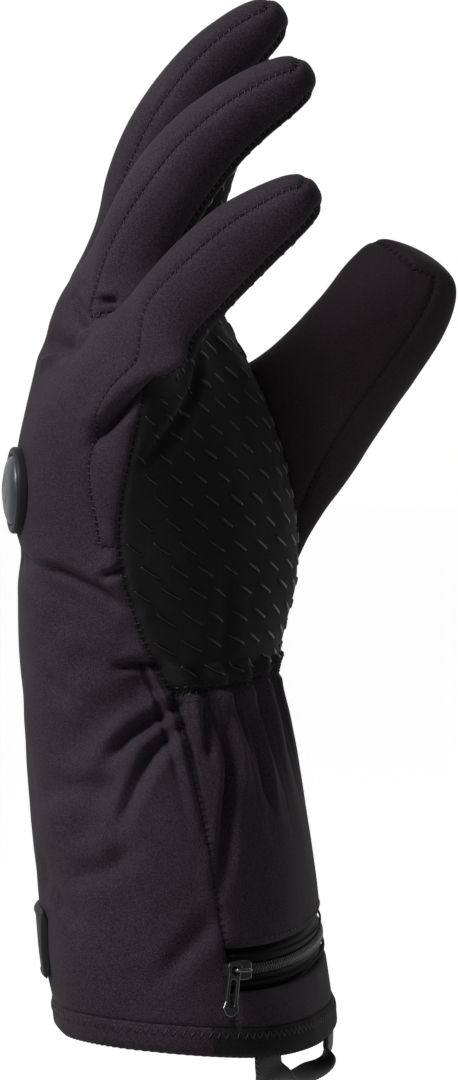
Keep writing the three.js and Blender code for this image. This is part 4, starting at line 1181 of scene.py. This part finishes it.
def add_seam_stitches(heap):
    """Threads that cross the sewn seams and dip into them."""
    groups = {(int(a), int(b)) for a, b in zip(seam_low[sewn], seam_high[sewn])}
    dip = np.array([0.3, 0.16, 0.02, 0.16, 0.3]) + THREAD_RADIUS * 0.7
    for low, high in sorted(groups):
        for run in chains(seams[(seam_low == low) & (seam_high == high)]):
            if len(run) < 5:
                continue
            spots, ups, ways = paced(shell[run], shell_normals[run], STITCH_PITCH, 1)
            slant = unit(np.cross(ups, ways)) * STITCH_REACH + ways * STITCH_SLANT
            thread(heap, straight(spots - slant, spots + slant) + ups[:, None] * dip[None, :, None], ups)


def add_row(heap, run, shift, pitch, length):
    """A row of running stitches beside a seam, shifted up the glove by a distance."""
    spots, ups, ways = paced(shell[run], shell_normals[run], pitch, 1)
    side = unit(np.cross(ups, ways))
    side *= np.where(side[:, 2:] > 0, 1, -1)
    middle, normals = on_cloth(spots + side * shift)
    ways = unit(ways - normals * (ways * normals).sum(1)[:, None])
    arch = np.array([-0.14, 0.08, 0.14, 0.08, -0.14])
    paths = straight(middle - ways * length / 2, middle + ways * length / 2)
    thread(heap, paths + normals[:, None] * arch[None, :, None], normals)


def add_zigzag(heap, run, top, bottom, pitch):
    """Chevron stitching on the hem band, between two distances below its upper edge."""
    spots, ups, ways = paced(shell[run], shell_normals[run], pitch)
    side = unit(np.cross(ups, ways))
    side *= np.where(side[:, 2:] < 0, 1, -1)
    drop = np.where(np.arange(len(spots)) % 2 == 0, top, bottom)[:, None]
    corners, normals = on_cloth(spots + side * drop, BAND_PROUD + THREAD_RADIUS * 0.5)
    thread(heap, straight(corners[:-1], corners[1:]), normals[:-1])


def add_stitches():
    heap = Heap()
    add_seam_stitches(heap)
    for low, high, shift, pitch, length in STITCH_ROWS:
        for run in seam_runs(low, high):
            add_row(heap, run, shift, pitch, length)
    for name in ("cuff_pocket_panel", "back_panel"):
        for run in seam_runs("hem_band", name):
            add_zigzag(heap, run, *ZIGZAG)
    mesh_object("stitches", heap.points, heap.faces, THREAD)



def flat_places(mask, wanted):
    """Places on the shell of points given on the flat cloth of some faces, and which of them lie on it."""
    flat, faces = FINE.cloth[mask], FINE.faces[mask]
    middle = flat.mean(1)
    _, ids = nearest(*(np.column_stack([places, np.zeros(len(places))]) for places in (wanted, middle)))
    a = flat[ids] - middle[ids][:, None]
    corners = shell[faces[ids]]
    centre = corners.mean(1)
    square = np.einsum("nki,nkj->nij", a, a) + np.eye(2) * 1e-9
    slope = np.linalg.solve(square, np.einsum("nki,nkj->nij", a, corners - centre[:, None]))
    offset = wanted - middle[ids]
    points = centre + np.einsum("ni,nij->nj", offset, slope)
    half = np.abs(a).max(1)
    inside = (np.abs(offset) <= half * 1.05).all(1) & (seam_away[faces[ids]].min(1) > DASH_CLEAR)
    return points, unit(shell_normals[faces[ids]].mean(1)), inside


def add_dashes():
    palm = FINE.panels == PANELS.index("palm_panel")
    on_hand = np.isfinite(FINE.columns[FINE.faces]).all(1)
    across = limit[FINE.faces][:, :, 1].mean(1)
    sides = [FINE.panels == PANELS.index(finger[0] + "_side_panel") for finger in FINGERS]
    bounds = [across[side].mean() for side in sides]
    splits = [-math.inf] + [(a + b) / 2 for a, b in zip(bounds, bounds[1:])] + [math.inf]
    charts = [palm & on_hand]
    charts += [palm & ~on_hand & (across > low) & (across < high) for low, high in zip(splits, splits[1:])]
    heap = Heap()
    uneven = np.random.default_rng(4)
    share = np.linspace(-1, 1, DASH_STEPS)
    turn = math.radians(DASH_SLANT)
    line = np.stack([share * math.cos(turn), share * math.sin(turn)], 1) * DASH_LENGTH / 2
    fade = np.sqrt(np.clip(1 - np.abs(share) ** 6, 0.02, 1))
    for chart in charts:
        low, high = FINE.cloth[chart].min((0, 1)), FINE.cloth[chart].max((0, 1))
        spans = [range(int(low[i] // DASH_PITCH[i]), int(high[i] // DASH_PITCH[i]) + 2) for i in range(2)]
        centres = np.array([(k + row % 2 / 2, row) for row in spans[1] for k in spans[0]]) * DASH_PITCH
        centres += uneven.normal(0, DASH_DRIFT, centres.shape)
        wanted = (centres[:, None] + line[None]).reshape(-1, 2)
        points, normals, inside = flat_places(chart, wanted)
        whole = inside.reshape(-1, DASH_STEPS).all(1)
        paths = points.reshape(-1, DASH_STEPS, 3)[whole]
        ups = normals.reshape(-1, DASH_STEPS, 3)[whole]
        if len(paths):
            height = DASH_HEIGHT if chart is charts[0] else FINGER_DASH_HEIGHT
            heap.add(*bars(paths, ups, DASH_WIDTH / 2 * fade, height * fade))
    mesh_object("palm_dashes", heap.points, heap.faces, SILICONE)


add_stitches()
add_dashes()


def grid_faces(n, k):
    """A sheet's quads and its rim, for n by k points in rows."""
    ids = np.arange(n * k).reshape(n, k)
    quads = np.stack([ids[:-1, :-1], ids[1:, :-1], ids[1:, 1:], ids[:-1, 1:]], -1).reshape(-1, 4)
    return quads, np.concatenate([ids[:, 0], ids[-1, 1:], ids[-2::-1, -1], ids[0, -2:0:-1]]).tolist()


def placed(place, points):
    return np.array([place @ Vector(p) for p in points])


# The zip.
def zip_frames():
    """Middles of the tape from the little finger's side to the other end, with run, outward and up."""
    sides = []
    for panel in ("cuff_pocket_panel", "cuff_front_panel"):
        side = np.unique(np.concatenate(seam_runs("zip_tape", panel)))
        sides.append(side[np.argsort(limit[side, 1])])
    upper = sides[1]
    reach = limit[FINE.faces[FINE.panels == TAPE_ID], 1]
    middles, outs = [], []
    for y in np.linspace(reach.min() + 0.8, reach.max() - 0.8, 90):
        ends = [[np.interp(y, limit[side, 1], plain_shell[side, i]) for i in range(3)] for side in sides]
        middles.append(np.mean(ends, axis=0))
        outs.append([np.interp(y, limit[upper, 1], limit_normals[upper, i]) for i in range(3)])
    middles, outs = np.array(middles), np.array(outs)
    runs = unit(np.gradient(middles, axis=0))
    outs = unit(outs - runs * (outs * runs).sum(1)[:, None])
    return middles, runs, outs, unit(-np.cross(runs, outs))


def add_zip():
    middles, runs, outs, ups = zip_frames()
    stations = np.linspace(-1, 1, 17)
    tucked = smoothstep(np.abs(stations), 0.6, 0.9)
    sunk = -TAPE_RECESS - TAPE_WAVE * np.cos(stations * math.pi * 3) * (1 - tucked)
    sunk -= (WALL - TAPE_RECESS + CLEARANCE) * tucked
    grid = middles[:, None] + ups[:, None] * (stations * (ZIP_BAND / 2 + TAPE_TUCK))[None, :, None]
    grid += outs[:, None] * sunk[None, :, None]
    for end, way in ((0, -1), (-1, 1)):
        grid[end] += (runs[end] * way - outs[end]) * 0.8 * TAPE_TUCK
    under = grid - outs[:, None] * TAPE_THICKNESS
    top, rim = grid_faces(*grid.shape[:2])
    count = grid.shape[0] * grid.shape[1]
    faces = top.tolist() + (top[:, ::-1] + count).tolist()
    faces += [[b, a, a + count, b + count] for a, b in zip(rim, rim[1:] + rim[:1])]
    points = np.concatenate([grid.reshape(-1, 3), under.reshape(-1, 3)])
    mesh_object("zip_tape", points, faces, FILM, ["zip_tape"])

    spots, normals, ways = paced(middles + outs * (COIL_RADIUS - TAPE_RECESS + 0.2), outs, COIL_PITCH)
    side = unit(np.cross(normals, ways))
    heap = Heap()
    for way in (1, -1):
        shifted = spots + ways * COIL_PITCH * 0.25 * way
        across = side * way * CHAIN_WIDTH
        paths = straight(shifted + across * 0.5, shifted - across * 0.2, 6)
        arch = COIL_RADIUS * np.array([-0.8, 0.1, 0.35, 0.5, 0.4, -0.3])
        paths = paths + normals[:, None] * arch[None, :, None]
        sizes = COIL_RADIUS * np.array([0.6, 0.9, 1, 1, 1.05, 0.7])
        heap.add(*bars(paths, normals[:, None], sizes, sizes))
    mesh_object("zip_coil", heap.points, heap.faces, COIL, ["zip_chain"])

    heap = Heap()
    for way, inset, radius in zip((-1, 1), PIPING_INSET, PIPING_RADIUS):
        line = middles + ups * way * (ZIP_BAND / 2 - inset) - outs * PIPING_DEPTH
        sizes = np.full(len(line), radius)
        heap.add(*bars(line[None], outs[None], sizes, sizes))
    mesh_object("zip_piping", heap.points, heap.faces, PIPING)
    add_slider(middles[1] - runs[1], runs[1], outs[1], ups[1])


def cut_plate(name, outlines, depth, place, bevel):
    """A metal plate cut to outlines, holes included, with its edges rounded, put where a matrix says."""
    data = bpy.data.curves.new(name, "CURVE")
    data.dimensions = "2D"
    data.fill_mode = "BOTH"
    data.extrude = depth / 2 - bevel
    data.bevel_depth = bevel
    data.bevel_resolution = 3
    data.offset = -bevel
    for outline in outlines:
        spline = data.splines.new("POLY")
        spline.points.add(len(outline) - 1)
        for point, (x, y) in zip(spline.points, outline):
            point.co = (x, y, 0, 1)
        spline.use_cyclic_u = True
    holder = linked(name, data)
    shape = bpy.data.meshes.new_from_object(holder)
    bpy.data.objects.remove(holder)
    points = placed(place, [(*v.co.xy, v.co.z + depth / 2) for v in shape.vertices])
    faces = [list(face.vertices) for face in shape.polygons]
    mesh_object(name, points, faces, METAL, [name], smooth=False)
    bpy.data.meshes.remove(shape)


def round_path(radius, centre=(0, 0), turns=(0, 360), steps=24):
    angles = np.radians(np.linspace(*turns, steps, endpoint=turns[1] - turns[0] < 360))
    return [(centre[0] + radius * math.cos(a), centre[1] + radius * math.sin(a)) for a in angles]


def add_slider(point, run, out, up):
    place = Matrix((run, up, out)).transposed().to_4x4()
    place.translation = Vector(point) + Vector(out) * (CHAIN_THICKNESS - TAPE_RECESS + 2 * CLEARANCE)
    long, wide = SLIDER_LENGTH / 2, SLIDER_WIDTH / 2
    side = [(-long, 0.5), (-long * 0.9, 0.66), (long * 0.2, 1), (long * 0.6, 1), (long, 0.8)]
    body = [(x, -y * wide) for x, y in side] + [(x, y * wide) for x, y in reversed(side)]
    cut_plate("zip_slider", [body], SLIDER_THICKNESS, place, 0.35)
    reach = BAIL_LENGTH / 2 - BAIL_BAR / 2
    foot = SLIDER_THICKNESS * 0.5
    rise = SLIDER_THICKNESS + BAIL_HEIGHT - BAIL_BAR / 2 - foot
    angle = np.linspace(0, math.pi, BAIL_STEPS)
    span = -np.sign(np.cos(angle)) * np.abs(np.cos(angle)) ** 0.5 * reach
    arch = placed(place, np.stack([span, np.zeros(BAIL_STEPS), foot + np.sin(angle) ** 0.5 * rise], 1))
    sizes = np.full(BAIL_STEPS, BAIL_BAR / 2)
    points, faces = bars(arch[None], np.tile(np.array(up), (1, BAIL_STEPS, 1)), sizes, sizes)
    mesh_object("zip_bail", points, faces, METAL)

    half = PULLER_WIDTH / 2
    crown = PULLER_EYE / 2 + PULLER_RIM
    foot = crown - PULLER_LENGTH
    side = [(0.72, -1), (0.78, foot + half * 1.6), (1, foot + half * 0.9), (0.55, foot + 0.5)]
    outline = round_path(crown, (0, 0), (20, 160), 9) + [(-x * half, y) for x, y in side] + [(0, foot)]
    outline += [(x * half, y) for x, y in reversed(side)]
    slot = round_path(PULLER_SLOT, (0, -3.2), (0, 180), 9)
    slot += round_path(PULLER_SLOT, (0, foot + 3.4), (180, 360.001), 9)
    eye = round_path(PULLER_EYE / 2 - 0.1)
    tilt = Matrix.Rotation(math.radians(PULLER_TILT), 4, "Z")
    slack = (BAIL_HEIGHT - BAIL_BAR - PULLER_THICKNESS) / 2
    hang = place @ Matrix.Translation((-reach, 0, SLIDER_THICKNESS + slack)) @ tilt
    cut_plate("zip_puller", [outline, eye, slot], PULLER_THICKNESS, hang, 0.3)


add_zip()


# The power button.
def lathe(profile, place):
    """A body of revolution through a profile of radius and height pairs, put in place."""
    steps = LATHE_STEPS
    angle = 2 * math.pi * np.arange(steps) / steps
    inner = [row for row in profile if row[0] > 0]
    points = [(r * math.cos(a), r * math.sin(a), z) for r, z in inner for a in angle]
    points += [(0, 0, profile[0][1]), (0, 0, profile[-1][1])]
    bottom, top, last = len(points) - 2, len(points) - 1, (len(inner) - 1) * steps
    faces = []
    for j in range(steps):
        k = (j + 1) % steps
        faces += [[i + j, i + k, i + steps + k, i + steps + j] for i in range(0, last, steps)]
        faces += [[bottom, k, j], [top, last + j, last + k]]
    return placed(place, points), faces


def rounded_profile(rows, per=6):
    """A smooth line through profile rows, for soft edges."""
    rows = np.array(rows, float)
    place = np.arange(len(rows))
    fine = np.linspace(0, len(rows) - 1, (len(rows) - 1) * per + 1)
    line = np.stack([np.interp(fine, place, rows[:, i]) for i in range(2)], 1)
    for _ in range(3):
        line[1:-1] = (line[:-2] + 2 * line[1:-1] + line[2:]) / 4
    return line.tolist()


def button_place():
    """Where the button sits on the back of the hand, found on the shell at its coarse level."""
    coarse = plain_shell[: len(LINING.points)]
    triangles = np.concatenate([LINING.faces[:, [0, 1, 2]], LINING.faces[:, [0, 2, 3]]])
    tree = BVHTree.FromPolygons(coarse.tolist(), triangles.tolist())
    start = (-HAND_SET_BACK - KNUCKLE_WIDTH, -BUTTON_OFFSET, BUTTON_HEIGHT)
    seat, normal, _, _ = tree.ray_cast(start, (1, 0, 0))
    side = Vector((0, 0, 1)).cross(normal).normalized()
    place = Matrix((side, normal.cross(side), normal)).transposed().to_4x4()
    place.translation = seat
    return place


def add_button():
    place = button_place()
    radius = BUTTON_DIAMETER / 2
    inner = radius - BUTTON_RIM
    floor = BUTTON_RIM_HEIGHT / 2
    rim, high = BUTTON_RIM, BUTTON_RIM_HEIGHT
    base = [(0, -WALL * 0.9), (radius * 0.98, -WALL * 0.9), (radius, high * 0.5)]
    base += [(radius - rim * 0.2, high * 0.92), (radius - rim * 0.6, high), (inner + 0.1, high * 0.9)]
    base += [(inner, floor), (0, floor)]
    points, faces = lathe(rounded_profile(base), place)
    mesh_object("power_button_base", points, faces, RUBBER, ["power_button_base"])
    edge = inner - CLEARANCE
    bottom = floor + CLEARANCE / 3
    rise = BUTTON_RIM_HEIGHT + BUTTON_DOME - bottom
    rows = [(0, bottom), (edge, bottom)]
    for angle in np.linspace(0, math.pi / 2, 14):
        rows.append((edge * math.cos(angle) ** 0.8, bottom + rise * math.sin(angle) ** 0.9))
    rows[-1] = (0, bottom + rise)
    points, faces = lathe(rounded_profile(rows, 3), place)
    mesh_object("power_button_dome", points, faces, DOME, ["power_button_dome"])
    heights = sorted((r, z) for r, z in rows[2:])
    reach, level = zip(*heights)

    def on_dome(path):
        flat = np.array(path)
        z = np.interp(np.hypot(flat[:, 0], flat[:, 1]), reach, level)
        return placed(place, np.column_stack([flat, z + 0.02]))

    heap = Heap()
    out = np.array(place.to_3x3() @ Vector((0, 0, 1)))
    ring = round_path(MARK_RADIUS, turns=(-240, 60), steps=40)
    for path in (ring, [(0, 1 + 0.32 * i) for i in range(12)]):
        line = on_dome(path)
        sizes = [np.full(len(line), size) for size in (MARK_WIDTH, MARK_HEIGHT)]
        heap.add(*bars(line[None], np.tile(out, (1, len(line), 1)), *sizes))
    mesh_object("button_mark", heap.points, heap.faces, MARK)


add_button()


# The patch on the back of the cuff: a bare rubber plate with a raised border.
def add_patch():
    wide, high = PATCH_WIDTH / 2, PATCH_HEIGHT / 2
    s, t = (np.linspace(-1, 1, n) for n in PATCH_GRID)
    s, t = np.meshgrid(np.sin(s * math.pi / 2), np.sin(t * math.pi / 2), indexing="ij")
    corner = PATCH_CORNER * 0.3
    y = s * (wide - corner * t**8)
    z = t * (high - corner * s**8)
    edge = np.minimum(wide - np.abs(y), high - np.abs(z))
    border = PATCH_BORDER_HEIGHT * beside(edge - PATCH_BORDER, PATCH_BORDER_WIDTH)
    rounding = np.sqrt(1 - (1 - np.clip(edge / PATCH_ROUND, 0, 1)) ** 2)
    height = PATCH_THICKNESS * rounding - PATCH_SUNK + border
    middle_z = PATCH_BOTTOM + high
    points = []
    for across, up, lift in zip(y.ravel() - PATCH_OFFSET, z.ravel() + middle_z, height.ravel()):
        spot, normal, _, _ = cloth_tree.ray_cast((-HEM_DEPTH - HAND_SET_BACK, across, up), (1, 0, 0))
        points.append(np.array(spot) + np.array(normal) * (lift + CLEARANCE))
    quads, rim = grid_faces(*PATCH_GRID)
    faces = np.roll(quads[:, ::-1], 1, axis=1).tolist() + [rim]
    mesh_object("back_patch", points, faces, PATCH, ["back_patch"])


add_patch()


# The hanging loop.
def hem_point(turn):
    """Where the hem's open edge passes a turn round from the little finger's edge."""
    turns = np.degrees(np.arctan2(-plain_shell[:, 0], -plain_shell[:, 1]))
    for a, b in mouth:
        start, end = turns[a], turns[b]
        if abs(start - end) > 90 or (turn - start) * (turn - end) > 0:
            continue
        share = (turn - start) / (end - start)
        normal = between(limit_normals[a], limit_normals[b], share)
        normal[2] = 0
        return between(plain_shell[a], plain_shell[b], share), unit(normal)


def add_loop():
    ends = [hem_point(turn) for turn in LOOP_TURNS]
    spots = [point + normal * (BAND_PROUD - WALL) / 2 for point, normal in ends]
    chord = spots[1] - spots[0]
    run = unit(np.array([chord[0], chord[1], 0]))
    inward = np.cross(run, [0, 0, 1])
    points, cloth = [], []
    half, thin = LOOP_WIDTH / 2, LOOP_THICKNESS / 2
    corner = [(half - LOOP_EDGE, thin), (half, thin * 0.5)]
    section = [corner[0], *((-w, t) for w, t in corner), *((-w, -t) for w, t in reversed(corner))]
    section += [(w, -t) for w, t in corner] + [corner[1]]
    length = 0
    before = None
    for i in range(LOOP_STEPS + 1):
        angle = math.pi * i / LOOP_STEPS
        point = spots[0] + chord * (1 - math.cos(angle)) / 2
        point[2] -= LOOP_DROP * math.sin(angle) ** LOOP_FULLNESS if 0 < i < LOOP_STEPS else 0
        late = 2 * i >= LOOP_STEPS
        flat = np.cross([0, 0, 1], ends[late][1])
        if flat @ run < 0:
            flat = -flat
        turned = smoothstep(math.sin(angle), *LOOP_TWIST)
        travel = unit(np.array([0, 0, -math.cos(angle)]) + run * math.sin(angle))
        wide = between(flat * (-1 if late else 1), inward, turned)
        wide = unit(wide - travel * (wide @ travel))
        thick = unit(np.cross(travel, wide))
        if before is not None:
            length += np.linalg.norm(point - before)
        before = point
        points += [point + wide * w + thick * t for w, t in section]
        cloth += [(w, length) for w, _ in section]
    count = len(section)
    faces, corners = [], []
    for i in range(LOOP_STEPS):
        for k in range(count):
            face = [i * count + k, i * count + (k + 1) % count]
            face += [face[1] + count, face[0] + count]
            faces.append(face)
            corners += [cloth[j] for j in face]
    for cap in (list(range(count))[::-1], [LOOP_STEPS * count + k for k in range(count)]):
        faces.append(cap)
        corners += [cloth[j] for j in cap]
    mesh_object("hanging_loop", points, faces, WEBBING, ["hanging_loop"], uv=corners)


add_loop()


# The white studio.
def add_stage():
    floor, nodes, links, shader = new_material("stage")
    set_inputs(shader, Base_Color=(FLOOR_TONE, FLOOR_TONE, FLOOR_TONE, 1), Roughness=1)
    set_inputs(shader, Emission_Color=(1, 1, 1, 1))
    place = nodes.new("ShaderNodeTexCoord")
    split = nodes.new("ShaderNodeSeparateXYZ")
    links.new(place.outputs["Object"], split.inputs[0])
    far_off = nodes.new("ShaderNodeMapRange")
    set_inputs(far_off, From_Min=GLOW_START, From_Max=GLOW_FULL, To_Max=GLOW_STRENGTH)
    links.new(split.outputs[1], far_off.inputs["Value"])
    links.new(far_off.outputs["Result"], shader.inputs["Emission Strength"])
    mesh = bpy.data.meshes.new("floor")
    corners = [(x, y, FLOOR_LEVEL) for y in (FLOOR_NEAR, FLOOR_FAR) for x in (-FLOOR_FAR, FLOOR_FAR)]
    mesh.from_pydata(corners, [], [(0, 1, 3, 2)])
    mesh.materials.append(floor)
    obj = linked("floor", mesh)
    world = bpy.data.worlds.new("studio")
    world.use_nodes = True
    nodes, links = world.node_tree.nodes, world.node_tree.links
    place = nodes.new("ShaderNodeTexCoord")
    turn = nodes.new("ShaderNodeVectorMath")
    turn.operation = "DOT_PRODUCT"
    angle = math.radians(BACKDROP_TURN)
    turn.inputs[1].default_value = (math.cos(angle), math.sin(angle), 0)
    links.new(place.outputs["Generated"], turn.inputs[0])
    ramp = nodes.new("ShaderNodeValToRGB")
    set_ramp(ramp, (BACKDROP_RISE[0], (FRONT_LIGHT,) * 3), (BACKDROP_RISE[1], (1, 1, 1)))
    links.new(turn.outputs["Value"], ramp.inputs[0])
    links.new(ramp.outputs[0], nodes["Background"].inputs["Color"])
    bpy.context.scene.world = world
    bpy.context.scene.view_settings.view_transform = "Standard"


def add_light(name, location, size, power):
    data = bpy.data.lights.new(name, "AREA")
    data.size = size
    data.energy = power
    obj = linked(name, data)
    obj.location = location
    obj.rotation_euler = aimed(Vector(location) - CAMERA_TARGET)


add_stage()
for light in LIGHTS:
    add_light(*light)
